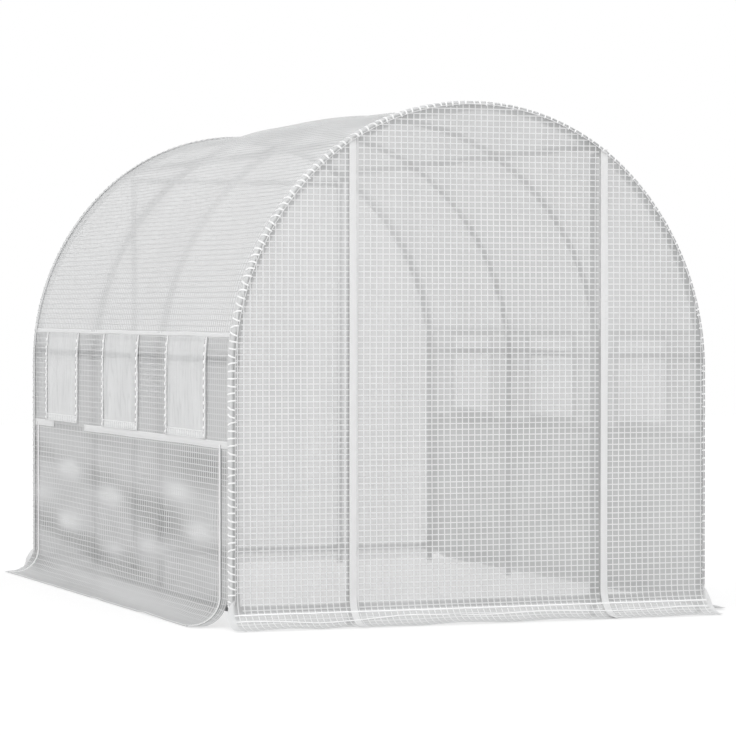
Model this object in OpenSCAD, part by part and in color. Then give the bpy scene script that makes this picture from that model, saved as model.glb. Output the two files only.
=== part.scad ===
// Walk-in polytunnel greenhouse: a steel tube frame under a reinforced film cover.
// Millimetres. Origin on the ground at the centre of the plan, +Z up, door end towards -Y.

/* [Tunnel] */
// Width across the cover at the legs
tunnel_w = 2000; // [1500:10:2600]
// Length over the two end walls
tunnel_l = 3000; // [2400:10:4000]
// Height of the straight legs
leg_h = 980; // [800:10:1250]
// Rise of the arch above the legs
arch_rise = 1055; // [850:5:1300]

/* [Frame tubes] */
// Outside diameter of every tube
tube_d = 25; // [18:1:32]
// Tube wall
tube_wall = 1.2; // [0.8:0.1:2.5]
// Height of the side bars above the ground
side_bar_z = 1026; // [990:1:1060]
// Distance of each upper bar from the middle of the tunnel
upper_bar_x = 505; // [380:5:620]
// Distance of each door post from the middle of the tunnel
post_x = 515; // [380:5:620]
// Centre height of the base bars above the ground
base_bar_z = 70; // [45:1:90]
// Height of the header bar of the back wall
header_z = 1825; // [1500:5:1825]

/* [Fittings] */
// Wall of the plastic sleeves that join the tubes
sleeve_wall = 2; // [1.5:0.1:4]
// Length of a sleeve's stub from the middle of its joint
sleeve_reach = 45; // [35:1:70]
// Half the length that a roof fitting grips of its hoop
hoop_grip = 30; // [20:1:45]
// Room between a tube and its sleeve
sleeve_gap = 0.15; // [0.1:0.05:0.4]

/* [Cover] */
// Thickness of the cover film
film_t = 3; // [2:0.5:6]
// Room between pieces that meet on a curve
seat_gap = 0.3; // [0.2:0.05:0.5]
// Depth of the band where an end wall folds over its hoop
hem_w = 45; // [25:1:80]
// Thickness of the tapes, zips, flaps and hem bands
trim_t = 2; // [1:0.5:4]

/* [Skirt] */
// Radius of the bend where the film turns out on the ground
flare_r = 110; // [70:5:160]
// How far the skirt reaches out from the walls
skirt_reach = 145; // [125:5:220]
// Distance of the side skirts' front ends from the front wall
side_skirt_start = 70; // [40:5:150]
// Corner radius of the skirts' free ends
skirt_corner_r = 30; // [10:5:50]

/* [Door] */
// Distance between the centre lines of the two door zips
door_w = 1064; // [800:2:1200]
// How far the door sits right of the middle of the front
door_shift = 21; // [0:1:60]
// Width of a door zip with its tape
door_zip_w = 30; // [16:1:50]

/* [Windows and side panels] */
// Number of windows in each side
window_count = 3; // [2:1:3]
// Width of a window
window_w = 480; // [300:10:560]
// Height of a window
window_h = 350; // [200:10:370]
// Bottom edge of the windows above the ground
window_z = 745; // [730:1:760]
// Distance of the first window from the front wall
window_front_gap = 360; // [280:10:420]
// Distance of the last window from the back wall
window_back_gap = 280; // [200:10:420]
// How far a flap covers the wall beside its window
flap_lap = 28; // [15:1:40]
// Centre height of the upper tape
upper_tape_z = 1124; // [1110:1:1150]
// Width of the upper tape
upper_tape_w = 18; // [12:1:30]
// Centre height of the lower tape
lower_tape_z = 700; // [650:1:710]
// Width of the lower tape
lower_tape_w = 30; // [20:1:40]
// Length of the bare stretch in the left wall's lower tape
tape_gap_l = 505; // [200:5:600]
// Distance of that bare stretch from the back wall
tape_gap_back = 380; // [150:5:600]
// Distance of the roll-up panel's front zip from the front wall
front_zip_y = 155; // [100:5:250]
// Distance of the roll-up panel's back zip from the back wall
back_zip_y = 100; // [70:5:250]
// Width of a side zip with its tape
side_zip_w = 16; // [10:1:30]

/* [Hidden] */
$fn = 48;

// Hoops from end to end, each a node of its own
hoop_count = 4;
half_w = tunnel_w / 2;
half_l = tunnel_l / 2;
tube_r = tube_d / 2;
sleeve_bore = tube_r + sleeve_gap;
sleeve_r = sleeve_bore + sleeve_wall;
// Clear space left between a bar's end and the tube that it meets
butt_gap = tube_r + seat_gap;
foot_sole = 2;
foot_cap_h = 14;
// How much a base joint's hub stands out past its sleeves
hub_rim = 1;
// Length beyond the whole tunnel, the overlap of areas that join, and how far a cut runs past a face
big = 3 * (tunnel_w + tunnel_l + arch_rise);
eps = 0.01;
cut_over = 1;

// The arch has three arcs: two flanks and a crown, joined where each has turned flank_turn.
flank_turn = 45;
flank_shift = (arch_rise - half_w) / (1 + tan(flank_turn) - 1 / cos(flank_turn));
flank_r = half_w + flank_shift;
crown_r = flank_r - flank_shift / cos(flank_turn);
crown_z = leg_h + (flank_r - crown_r) * sin(flank_turn);

// How far a hoop bends away from a straight sleeve at the sleeve's ends, with a little room
bend_room = 1.1;
bend_sag = bend_room * hoop_grip * hoop_grip / (2 * min(flank_r, crown_r));
hoop_bore = sleeve_bore + bend_sag;
hoop_sleeve_r = hoop_bore + sleeve_wall;
// Inset of the tubes' centre lines from the outside of the cover
tube_inset = film_t + seat_gap + hoop_sleeve_r + bend_sag;

line_x = half_w - tube_inset;
flank_line_r = flank_r - tube_inset;
crown_line_r = crown_r - tube_inset;
end_half_w = half_w - film_t - seat_gap;
hoop_pitch = (tunnel_l - 2 * tube_inset) / (hoop_count - 1);
hub_r = sleeve_r + hub_rim;
hub_rise = sleeve_r + foot_sole;
front_line_y = -half_l + tube_inset;
back_line_y = half_l - tube_inset;
flare_top = flare_r + film_t;
zip_y = [-half_l + front_zip_y, half_l - back_zip_y];
tape_y = [-half_l + hem_w, half_l - hem_w];
bare_y = [half_l - tape_gap_back - tape_gap_l, half_l - tape_gap_back];
door_zip_x = [door_shift - door_w / 2, door_shift + door_w / 2];
// Angles round the crown's centre: well below the roof's lower edge, and at the upper bars
eaves_angle = -80;
upper_angle = acos(upper_bar_x / crown_line_r);
// Zero where the side bars meet the straight legs
side_angle = asin(max(0, side_bar_z - leg_h) / flank_line_r);
side_bar_x = flank_line_r * cos(side_angle) - flank_shift;
window_pitch = (tunnel_l - window_front_gap - window_back_gap - window_w) / (window_count - 1);

function hoop_y(i) = front_line_y + i * hoop_pitch;
function window_y(i) = -half_l + window_front_gap + window_w / 2 + i * window_pitch;
// Height over a place on the crown, on a circle that lies drop inside the tubes' centre line
function crown_line_z(x, drop = 0) = crown_z + sqrt(pow(crown_line_r - drop, 2) - x * x);

// A post stops square under its hoop, or under the roof fitting where that is beside it and lower
fitting_low_z = crown_line_z(upper_bar_x) - hoop_grip * cos(upper_angle) - hoop_sleeve_r * sin(upper_angle);
post_meets_fitting = abs(post_x - upper_bar_x) < hoop_grip + tube_r;
roof_low_z = post_meets_fitting ? fitting_low_z : big;
function top_under_hoop(x) = min(crown_line_z(x, tube_r), roof_low_z) - seat_gap;
post_top = top_under_hoop(post_x + tube_r);
// How far the header's tee sleeve reaches up its post
tee_up = min(sleeve_reach, top_under_hoop(post_x + sleeve_r) - header_z);

// ---- Shapes shared by the pieces ----

// Lays a flat XZ outline along the tunnel, from y0 to y1
module along(y0, y1) {
    translate([0, y1, 0])
        rotate([90, 0, 0])
            linear_extrude(y1 - y0)
                children();
}

// Lays a flat YZ outline across the tunnel, from x0 to x1
module across(x0, x1) {
    translate([x0, 0, 0])
        rotate([90, 0, 90])
            linear_extrude(x1 - x0)
                children();
}

module both_sides() {
    children();
    mirror([1, 0, 0]) children();
}

// Right half of the area inside the cover's outline, taken in by inset
module half_outline(inset) {
    knee_z = leg_h + (flank_r - inset) * sin(flank_turn);
    square([half_w - inset, leg_h + eps]);
    intersection() {
        translate([-flank_shift, leg_h]) circle(flank_r - inset, $fn = 180);
        translate([0, leg_h]) square([big, knee_z - leg_h + eps]);
    }
    intersection() {
        translate([0, crown_z]) circle(crown_r - inset, $fn = 180);
        translate([0, knee_z]) square([big, big]);
    }
}

module outline(inset) {
    half_outline(inset);
    mirror([1, 0]) half_outline(inset);
}

// Right side of a skin that follows the cover, between two insets and two heights
module skin(outer, inner, z0, z1) {
    intersection() {
        difference() {
            half_outline(outer);
            half_outline(inner);
        }
        translate([0, z0]) square([big, z1 - z0]);
    }
}

// Sector of the crown between two angles from the horizontal
module sector(a0, a1) {
    mid = (a0 + a1) / 2;
    polygon([
        [0, crown_z],
        [big * cos(a0), crown_z + big * sin(a0)],
        [big * cos(mid), crown_z + big * sin(mid)],
        [big * cos(a1), crown_z + big * sin(a1)]
    ]);
}

// Profile of film that runs down a wall and turns out on the ground, outside at x = 0
module flare(outer, inner, top, reach) {
    bend = flare_r - outer;
    under = flare_r - inner;
    translate([flare_r, flare_top])
        intersection() {
            difference() {
                circle(under, $fn = 120);
                circle(bend, $fn = 120);
            }
            translate([-big, -big]) square([big, big]);
        }
    translate([flare_r, flare_top - under]) square([reach - flare_r, under - bend]);
    if (top > flare_top)
        translate([inner, flare_top]) square([outer - inner, top - flare_top]);
}

// ---- Tubes ----

module tube_face(r) {
    difference() {
        circle(r);
        circle(r - tube_wall);
    }
}

module straight_tube(length) {
    linear_extrude(length) tube_face(tube_r);
}

module bar_along(x, z, y0, y1) {
    translate([x, y1, z]) rotate([90, 0, 0]) straight_tube(y1 - y0);
}

module bar_across(y, z, x0, x1) {
    translate([x0, y, z]) rotate([0, 90, 0]) straight_tube(x1 - x0);
}

// Bent tube of a hoop between two angles, short of each by half a joint
module bent_tube(line_r, start, stop) {
    joint_turn = seat_gap / 2 / line_r * 180 / PI;
    rotate([0, -start - joint_turn, 0])
        rotate([90, 0, 0])
            rotate_extrude(angle = stop - start - 2 * joint_turn, $fn = 180)
                translate([line_r, 0]) tube_face(tube_r);
}

// A hoop is five tubes pushed together: two legs, two flanks and the crown
module hoop(y) {
    color("silver")
        translate([0, y, 0]) {
            both_sides() {
                translate([line_x, 0, foot_sole])
                    straight_tube(leg_h - foot_sole - seat_gap / 2);
                translate([-flank_shift, 0, leg_h]) bent_tube(flank_line_r, 0, flank_turn);
            }
            translate([0, 0, crown_z]) bent_tube(crown_line_r, flank_turn, 180 - flank_turn);
        }
}

// One bar in each bay between the hoops
module bay_bars(x, z) {
    for (i = [0 : hoop_count - 2])
        bar_along(x, z, hoop_y(i) + butt_gap, hoop_y(i + 1) - butt_gap);
}

// ---- Fittings ----

// Sleeve round a hoop at an angle of its arc, with stubs for the bars that meet it there
module cross_sleeve(back, front) {
    difference() {
        union() {
            cylinder(r = hoop_sleeve_r, h = 2 * hoop_grip, center = true);
            rod_along(sleeve_r, front ? -sleeve_reach : 0, back ? sleeve_reach : 0);
        }
        cylinder(r = hoop_bore, h = 2 * (hoop_grip + cut_over), center = true);
        rod_along(sleeve_bore, front ? -sleeve_reach - cut_over : 0, back ? sleeve_reach + cut_over : 0);
    }
}

module rod_along(r, y0, y1) {
    translate([0, y1, 0]) rotate([90, 0, 0]) cylinder(r = r, h = y1 - y0);
}

module hoop_sleeves(x, z, tilt) {
    for (i = [0 : hoop_count - 1])
        translate([x, hoop_y(i), z])
            rotate([0, -tilt, 0])
                cross_sleeve(i < hoop_count - 1, i > 0);
}

// Base joint: a hub with a socket for the upright and a stub for each base bar, and a cap under the upright
module foot(turns) {
    difference() {
        union() {
            translate([0, 0, base_bar_z - hub_rise]) cylinder(r = hub_r, h = 2 * hub_rise);
            translate([0, 0, base_bar_z]) cylinder(r = sleeve_r, h = hub_rise + sleeve_reach);
            for (turn = turns) base_stub(turn) cylinder(r = sleeve_r, h = sleeve_reach);
        }
        cylinder(r = sleeve_bore, h = big);
        for (turn = turns) base_stub(turn) cylinder(r = sleeve_bore, h = sleeve_reach + cut_over);
    }
    difference() {
        cylinder(r = sleeve_r, h = foot_cap_h);
        translate([0, 0, foot_sole]) cylinder(r = sleeve_bore, h = big);
    }
}

module base_stub(turn) {
    translate([0, 0, base_bar_z]) rotate([0, 90, turn]) children();
}

// ---- Frame ----

module front_hoop() { hoop(hoop_y(0)); }
module second_hoop() { hoop(hoop_y(1)); }
module third_hoop() { hoop(hoop_y(2)); }
module back_hoop() { hoop(hoop_y(hoop_count - 1)); }

module ridge_bars() {
    color("silver") bay_bars(0, crown_z + crown_line_r);
}

module upper_bars() {
    color("silver") both_sides() bay_bars(upper_bar_x, crown_line_z(upper_bar_x));
}

module side_bars() {
    color("silver") both_sides() bay_bars(side_bar_x, side_bar_z);
}

module side_base_bars() {
    color("silver") both_sides() bay_bars(line_x, base_bar_z);
}

module end_base_bars() {
    color("silver")
        for (y = [front_line_y, back_line_y]) {
            both_sides() bar_across(y, base_bar_z, post_x + butt_gap, line_x - butt_gap);
            bar_across(y, base_bar_z, -post_x + butt_gap, post_x - butt_gap);
        }
}

module posts(y) {
    color("silver")
        both_sides()
            translate([post_x, y, foot_sole]) straight_tube(post_top - foot_sole);
}

module front_door_posts() { posts(front_line_y); }
module back_wall_posts() { posts(back_line_y); }

module back_header_bar() {
    color("silver")
        bar_across(back_line_y, header_z, -post_x + butt_gap, post_x - butt_gap);
}

// ---- Fittings of the frame ----

module roof_fittings() {
    color("dimgray") {
        hoop_sleeves(0, crown_z + crown_line_r, 90);
        both_sides() hoop_sleeves(upper_bar_x, crown_line_z(upper_bar_x), upper_angle);
    }
}

module side_fittings() {
    color("dimgray") both_sides() hoop_sleeves(side_bar_x, side_bar_z, side_angle);
}

module post_fittings() {
    color("dimgray")
        both_sides()
            translate([post_x, back_line_y, header_z])
                tee_sleeve();
}

// Sleeve on a post with one stub towards the middle of the tunnel
module tee_sleeve() {
    difference() {
        union() {
            translate([0, 0, -sleeve_reach]) cylinder(r = sleeve_r, h = sleeve_reach + tee_up);
            rotate([0, -90, 0]) cylinder(r = sleeve_r, h = sleeve_reach);
        }
        translate([0, 0, -2 * sleeve_reach]) cylinder(r = sleeve_bore, h = 4 * sleeve_reach);
        rotate([0, -90, 0]) cylinder(r = sleeve_bore, h = sleeve_reach + cut_over);
    }
}

module ground_feet() {
    color("dimgray")
        both_sides() {
            for (i = [0 : hoop_count - 1]) {
                along_stubs = concat(i > 0 ? [-90] : [], i < hoop_count - 1 ? [90] : []);
                corner_stub = (i == 0 || i == hoop_count - 1) ? [180] : [];
                translate([line_x, hoop_y(i), 0]) foot(concat(along_stubs, corner_stub));
            }
            for (y = [front_line_y, back_line_y]) translate([post_x, y, 0]) foot([0, 180]);
        }
}

// ---- Roof and side walls ----

// Right part of the roof between two angles of the crown
module roof_part(a0, a1) {
    color("whitesmoke")
        along(-half_l, half_l)
            intersection() {
                skin(0, film_t, upper_tape_z, big);
                sector(a0, a1);
            }
}

module right_roof_haunch() { roof_part(eaves_angle, upper_angle); }
module left_roof_haunch() { mirror([1, 0, 0]) roof_part(eaves_angle, upper_angle); }
module right_roof_crown() { roof_part(upper_angle, 90); }
module left_roof_crown() { mirror([1, 0, 0]) roof_part(upper_angle, 90); }

module window_wall() {
    color("whitesmoke")
        difference() {
            along(-half_l, half_l) skin(0, film_t, lower_tape_z, upper_tape_z);
            for (i = [0 : window_count - 1])
                translate([half_w / 2, window_y(i) - window_w / 2, window_z])
                    cube([half_w, window_w, window_h]);
        }
}

module window_flaps() {
    flap_bottom = lower_tape_z + lower_tape_w / 2;
    flap_top = upper_tape_z - upper_tape_w / 2;
    color("white")
        for (i = [0 : window_count - 1])
            along(window_y(i) - window_w / 2 - flap_lap, window_y(i) + window_w / 2 + flap_lap)
                skin(-seat_gap - trim_t, -seat_gap, flap_bottom, flap_top);
}

module tape(z, width) {
    skin(-seat_gap - trim_t, -seat_gap, z - width / 2, z + width / 2);
}

// The upper tape in one length, and the lower one in the lengths given
module wall_tapes(lower_lengths) {
    color("white") {
        along(tape_y[0], tape_y[1]) tape(upper_tape_z, upper_tape_w);
        for (ends = lower_lengths)
            along(ends[0], ends[1]) tape(lower_tape_z, lower_tape_w);
    }
}

module right_window_wall() { window_wall(); }
module left_window_wall() { mirror([1, 0, 0]) window_wall(); }
module right_window_flaps() { window_flaps(); }
module left_window_flaps() { mirror([1, 0, 0]) window_flaps(); }
module right_wall_tapes() { wall_tapes([tape_y]); }
module left_wall_tapes() { mirror([1, 0, 0]) wall_tapes([[tape_y[0], bare_y[0]], [bare_y[1], tape_y[1]]]); }

module rollup_panel() {
    color("gainsboro")
        along(zip_y[0], zip_y[1]) skin(0, film_t, flare_top, lower_tape_z);
}

module wall_margins() {
    color("whitesmoke") {
        along(-half_l, zip_y[0]) skin(0, film_t, flare_top, lower_tape_z);
        along(zip_y[1], half_l) skin(0, film_t, flare_top, lower_tape_z);
    }
}

module panel_zips() {
    zip_top = lower_tape_z - lower_tape_w / 2;
    color("white")
        for (y = zip_y)
            along(y - side_zip_w / 2, y + side_zip_w / 2)
                translate([half_w, 0]) flare(trim_t, 0, zip_top, skirt_reach);
}

module right_rollup_panel() { rollup_panel(); }
module left_rollup_panel() { mirror([1, 0, 0]) rollup_panel(); }
module right_wall_margins() { wall_margins(); }
module left_wall_margins() { mirror([1, 0, 0]) wall_margins(); }
module right_panel_zips() { panel_zips(); }
module left_panel_zips() { mirror([1, 0, 0]) panel_zips(); }

// ---- Skirts ----

// Plan of a skirt's free edge with rounded corners, seen from above, outwards along +X
module skirt_plan(y0, y1) {
    translate([-half_w / 2, y0]) square([half_w / 2 + skirt_reach - skirt_corner_r, y1 - y0]);
    translate([0, y0 + skirt_corner_r])
        square([skirt_reach, y1 - y0 - 2 * skirt_corner_r]);
    for (y = [y0 + skirt_corner_r, y1 - skirt_corner_r])
        translate([skirt_reach - skirt_corner_r, y]) circle(skirt_corner_r);
}

module side_skirt() {
    color("gainsboro")
        translate([half_w, 0, 0])
            intersection() {
                along(-half_l + side_skirt_start, half_l) flare(0, -film_t, flare_top, skirt_reach);
                linear_extrude(big) skirt_plan(-half_l + side_skirt_start, half_l);
            }
}

module end_skirt() {
    color("gainsboro")
        translate([0, half_l, 0])
            rotate([0, 0, 90])
                along(-end_half_w, end_half_w) flare(0, -film_t, flare_top, skirt_reach);
}

module right_skirt() { side_skirt(); }
module left_skirt() { mirror([1, 0, 0]) side_skirt(); }
module back_skirt() { end_skirt(); }
module front_skirt() { mirror([0, 1, 0]) end_skirt(); }

// ---- End walls ----

// Part of an end wall between two distances from the middle
module end_panel(x0, x1) {
    color("whitesmoke")
        along(-half_l, -half_l + film_t)
            intersection() {
                outline(film_t + seat_gap);
                translate([x0, flare_top]) square([x1 - x0, big]);
            }
}

module front_left_panel() { end_panel(-half_w, door_zip_x[0]); }
module door_panel() { end_panel(door_zip_x[0], door_zip_x[1]); }
module front_right_panel() { end_panel(door_zip_x[1], half_w); }
module back_wall() { mirror([0, 1, 0]) end_panel(-half_w, half_w); }

module door_zips() {
    color("white")
        for (x = door_zip_x) {
            along(-half_l - trim_t, -half_l)
                intersection() {
                    outline(film_t + seat_gap);
                    translate([x - door_zip_w / 2, flare_top]) square([door_zip_w, big]);
                }
            translate([0, -half_l, 0])
                rotate([0, 0, -90])
                    along(x - door_zip_w / 2, x + door_zip_w / 2)
                        flare(trim_t, 0, flare_top, skirt_reach);
        }
}

module hem_band() {
    color("whitesmoke")
        along(-half_l, -half_l + hem_w)
            difference() {
                intersection() {
                    outline(-seat_gap - trim_t);
                    translate([-big / 2, flare_top]) square([big, big]);
                }
                outline(-seat_gap);
            }
}

module front_hem_band() { hem_band(); }
module back_hem_band() { mirror([0, 1, 0]) hem_band(); }

front_hoop();
second_hoop();
third_hoop();
back_hoop();
ridge_bars();
upper_bars();
side_bars();
side_base_bars();
end_base_bars();
front_door_posts();
back_wall_posts();
back_header_bar();
roof_fittings();
side_fittings();
post_fittings();
ground_feet();
left_roof_haunch();
left_roof_crown();
right_roof_crown();
right_roof_haunch();
left_window_wall();
right_window_wall();
left_window_flaps();
right_window_flaps();
left_rollup_panel();
right_rollup_panel();
left_wall_margins();
right_wall_margins();
left_wall_tapes();
right_wall_tapes();
left_panel_zips();
right_panel_zips();
left_skirt();
right_skirt();
front_skirt();
back_skirt();
front_left_panel();
door_panel();
front_right_panel();
door_zips();
back_wall();
front_hem_band();
back_hem_band();
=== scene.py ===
import math

import bmesh
import bpy
import numpy as np
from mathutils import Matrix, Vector


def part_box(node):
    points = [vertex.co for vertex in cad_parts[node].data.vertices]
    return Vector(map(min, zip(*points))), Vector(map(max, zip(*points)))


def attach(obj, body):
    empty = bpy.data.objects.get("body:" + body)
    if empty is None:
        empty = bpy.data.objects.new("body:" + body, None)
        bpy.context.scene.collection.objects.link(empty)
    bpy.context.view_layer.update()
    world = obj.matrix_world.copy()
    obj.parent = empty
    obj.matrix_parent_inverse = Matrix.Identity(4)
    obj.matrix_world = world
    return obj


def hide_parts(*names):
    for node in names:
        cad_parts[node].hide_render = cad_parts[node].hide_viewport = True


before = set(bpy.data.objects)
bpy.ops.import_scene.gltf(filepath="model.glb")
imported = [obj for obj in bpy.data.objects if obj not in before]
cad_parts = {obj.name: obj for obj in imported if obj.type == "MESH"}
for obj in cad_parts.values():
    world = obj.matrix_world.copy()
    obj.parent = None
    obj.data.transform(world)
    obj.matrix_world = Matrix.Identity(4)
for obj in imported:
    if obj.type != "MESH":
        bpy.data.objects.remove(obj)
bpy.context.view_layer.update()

# A walk-in polytunnel: film sheets, tapes, zips, window flaps and stitching over the tube frame.
# Metres, +Z up, door end towards -Y. Sizes come from the frame's own nodes.

print("frame loaded")

# The camera comes before anything is made.
cameraSettings = {
    "place": (-4.911, -13.492, 1.229),
    "turn": 20.41,  # degrees to the right of straight ahead
    "tilt": -1.048,  # degrees above level
    "lens": 161.65,  # mm
    "sensor": 36,  # mm wide
}


def makeCamera(s):
    data = bpy.data.cameras.new("camera")
    data.sensor_width = s["sensor"]
    data.lens = s["lens"]
    camera = bpy.data.objects.new("camera", data)
    camera.location = s["place"]
    camera.rotation_euler = (math.radians(90 + s["tilt"]), 0, -math.radians(s["turn"]))
    bpy.context.scene.collection.objects.link(camera)
    bpy.context.scene.camera = camera


makeCamera(cameraSettings)


# What the frame says: outline, tapes, windows and zips, read off its nodes.
def nodePoints(node):
    return np.array([v.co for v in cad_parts[node].data.vertices])


def levels(values, apart=0.0008):  # the distinct places among a node's points along one axis
    ordered = np.sort(values)
    starts = np.concatenate([[True], np.diff(ordered) > apart])
    return [float(v) for v in ordered[starts]]


def pairs(values):
    return list(zip(values[::2], values[1::2]))


def middleOf(node, axis):
    low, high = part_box(node)
    return (low[axis] + high[axis]) / 2


nearEdge = 0.001
onEdge = 1e-5
panelLow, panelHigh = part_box("left_rollup_panel")
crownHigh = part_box("left_roof_crown")[1]
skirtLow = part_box("left_skirt")[0]
halfWide = -panelLow[0]
halfLong, peakZ = crownHigh[1], crownHigh[2]
flareTop = panelLow[2]  # where the side film starts to turn out into the skirt
filmThick = panelHigh[0] + halfWide
flareRadius = flareTop - filmThick
skirtReach = -skirtLow[0] - halfWide
sideSkirtStart = skirtLow[1]
tubeRadius = (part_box("back_header_bar")[1][2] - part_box("back_header_bar")[0][2]) / 2
hoopY = [middleOf(n, 1) for n in ("front_hoop", "second_hoop", "third_hoop", "back_hoop")]
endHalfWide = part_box("back_wall")[1][0]
backWall = nodePoints("back_wall")
backEdge = backWall[backWall[:, 0] > endHalfWide - onEdge]
legTop = float(backEdge[:, 2].max())  # where the straight legs end

tapePoints = nodePoints("left_wall_tapes")
lowerTapePoints = tapePoints[tapePoints[:, 2] < legTop]
upperTapePoints = tapePoints[tapePoints[:, 2] > legTop]
lowerTape = (float(lowerTapePoints[:, 2].min()), float(lowerTapePoints[:, 2].max()))  # heights
upperTape = (float(upperTapePoints[:, 2].min()), float(upperTapePoints[:, 2].max()))
leftTapeEnds = levels(lowerTapePoints[:, 1])
rightTapeEnds = levels(nodePoints("right_wall_tapes")[:, 1])
flapEdges = pairs(levels(nodePoints("left_window_flaps")[:, 1]))
flapZ = (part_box("left_window_flaps")[0][2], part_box("left_window_flaps")[1][2])
wallPoints = nodePoints("left_window_wall")
windowPoints = wallPoints[np.abs(wallPoints[:, 1]) < halfLong - nearEdge]
windowEdges = pairs(levels(windowPoints[:, 1]))
windowHeights = levels(windowPoints[:, 2], 0.02)
windowZ = (windowHeights[0], windowHeights[-1])
sideZips = [(a + b) / 2 for a, b in pairs(levels(nodePoints("left_panel_zips")[:, 1]))]
doorZipX = nodePoints("door_zips")[:, 0]
doorZips = [float(x.min() + x.max()) / 2 for x in (doorZipX[doorZipX < 0], doorZipX[doorZipX > 0])]
doorZipWide = float(doorZipX[doorZipX > 0].max() - doorZipX[doorZipX > 0].min())
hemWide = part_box("front_hem_band")[1][1] + halfLong
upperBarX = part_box("upper_bars")[1][0] - tubeRadius
sideBarZ = middleOf("side_bars", 2)

# The arch is two flank arcs and a crown arc that meet where each has turned 45 degrees.
flankTurn = math.radians(45)
flankShift = (peakZ - legTop - halfWide) / (1 + math.tan(flankTurn) - 1 / math.cos(flankTurn))
flankRadius = halfWide + flankShift
crownRadius = flankRadius - flankShift / math.cos(flankTurn)
crownZ = legTop + (flankRadius - crownRadius) * math.sin(flankTurn)
crownLength = crownRadius * flankTurn
archLength = crownLength + flankRadius * flankTurn  # from the ridge to the top of a leg
legLength = legTop - flareTop
bendLength = flareRadius * math.pi / 2
flareLength = bendLength + skirtReach - flareRadius
hemTurn = 0.012  # radius at which an end wall turns over its hoop
hemReach = hemTurn * (math.pi / 2 - 2) + hemWide  # how far the flat sheet runs past the outline

print("sizes read: legs %.3f, peak %.3f, windows %s %s" % (legTop, peakZ, windowEdges, windowZ))


def lengthAtHeight(z):  # outline length from the ridge to a height on the flank or leg
    if z <= legTop:
        return archLength + legTop - z
    return archLength - flankRadius * math.asin((z - legTop) / flankRadius)


def lengthAtX(x):  # outline length from the ridge to a place on the crown
    return crownRadius * math.asin(x / crownRadius)


# Where the film lies. A lift is how far a point stands off the outline, outwards.
def dropAt(down):  # film that falls past the flare's top: reach, height, and the normal's two parts
    bend = np.clip(down / flareRadius, 0, math.pi / 2)
    reach = flareRadius * (1 - np.cos(bend)) + np.maximum(down - bendLength, 0)
    height = np.where(down < 0, flareTop - down, flareTop - flareRadius * np.sin(bend))
    return reach, height, np.cos(bend), np.sin(bend)


def sidePlace(y, s, lift):  # a point of the roof or a side, s metres out from the ridge, and its normal
    a = np.abs(s)
    side = np.where(s < 0, -1.0, 1.0)
    onCrown = a < crownLength
    turn = np.where(onCrown, a / crownRadius, flankTurn + (a - crownLength) / flankRadius)
    turn = np.minimum(turn, math.pi / 2)
    radius = np.where(onCrown, crownRadius, flankRadius)
    x = np.where(onCrown, 0, -flankShift) + radius * np.sin(turn)
    z = np.where(onCrown, crownZ, legTop) + radius * np.cos(turn)
    reach, height, outX, outZ = dropAt(a - archLength - legLength)
    onLeg = a > archLength
    x = np.where(onLeg, halfWide + reach, x)
    z = np.where(onLeg, height, z)
    nx = np.where(onLeg, outX, np.sin(turn))
    nz = np.where(onLeg, outZ, np.cos(turn))
    points = np.stack([side * (x + nx * lift), y + 0 * x, z + nz * lift], -1)
    return points, np.stack([side * nx, 0 * nx, nz], -1)


def outsideBy(x, z):  # how far a flat point lies outside the outline, and the outline's normal there
    a = np.abs(x)
    side = np.where(x < 0, -1.0, 1.0)
    onCrown = z - crownZ > a
    onFlank = (z > legTop) & ~onCrown
    cx = np.where(onCrown, 0, -flankShift)
    cz = np.where(onCrown, crownZ, legTop)
    away = np.hypot(a - cx, z - cz)
    curved = onCrown | onFlank
    distance = np.where(curved, away - np.where(onCrown, crownRadius, flankRadius), a - halfWide)
    nx = np.where(curved, (a - cx) / away, 1)
    nz = np.where(curved, (z - cz) / away, 0)
    return distance, side * nx, nz


def endPlace(x, z, end, wallLift, hemLift, skirt=True):  # an end wall's flat cut, folded over its hoop
    distance, nx, nz = outsideBy(x, z)
    past = np.maximum(distance + hemTurn, 0)
    turn = np.minimum(past / hemTurn, math.pi / 2)
    along = np.maximum(past - hemTurn * math.pi / 2, 0)
    inX = x - nx * past + nx * hemTurn * np.sin(turn)
    inZ = z - nz * past + nz * hemTurn * np.sin(turn)
    reach, height, outY, outZ = dropAt(flareTop - z)
    onSkirt = (z < flareTop) & skirt
    inX = np.where(onSkirt, x, inX)
    inZ = np.where(onSkirt, height, inZ)
    inY = halfLong - hemTurn * (1 - np.cos(turn)) - along
    inY = np.where(onSkirt, halfLong + reach, inY)
    normalX = np.where(onSkirt, 0, nx * np.sin(turn))
    normalY = np.where(onSkirt, outY, np.cos(turn))
    normalZ = np.where(onSkirt, outZ, nz * np.sin(turn))
    lift = wallLift + (hemLift - wallLift) * turn / (math.pi / 2)
    normal = np.stack([normalX, end * normalY, normalZ], -1)
    points = np.stack([inX, end * inY, inZ], -1) + normal * np.asarray(lift)[..., None]
    return points, normal


rippleSettings = {
    "waves": 7,
    "shares": (0.7, 1.7),  # shortest and longest wave, as shares of the size asked for
    "calm": 3.2,  # divides the sum, so that it stays mostly within 1 either way
}


def ripple(u, v, size, seed, stretch=1.0, c=rippleSettings):  # smooth waves that don't repeat
    chance = np.random.RandomState(seed)
    total = 0 * u
    for _ in range(c["waves"]):
        turn = chance.uniform(0, 2 * math.pi)
        rate = 2 * math.pi / (size * chance.uniform(*c["shares"]))
        along = u * math.cos(turn) + v * stretch * math.sin(turn)
        total = total + np.sin(rate * along + chance.uniform(0, 2 * math.pi))
    return total / c["calm"]


def hump(u, v, place, size):  # a soft bump of height 1
    return np.exp(-((u - place[0]) / size[0]) ** 2 - ((v - place[1]) / size[1]) ** 2)


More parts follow.
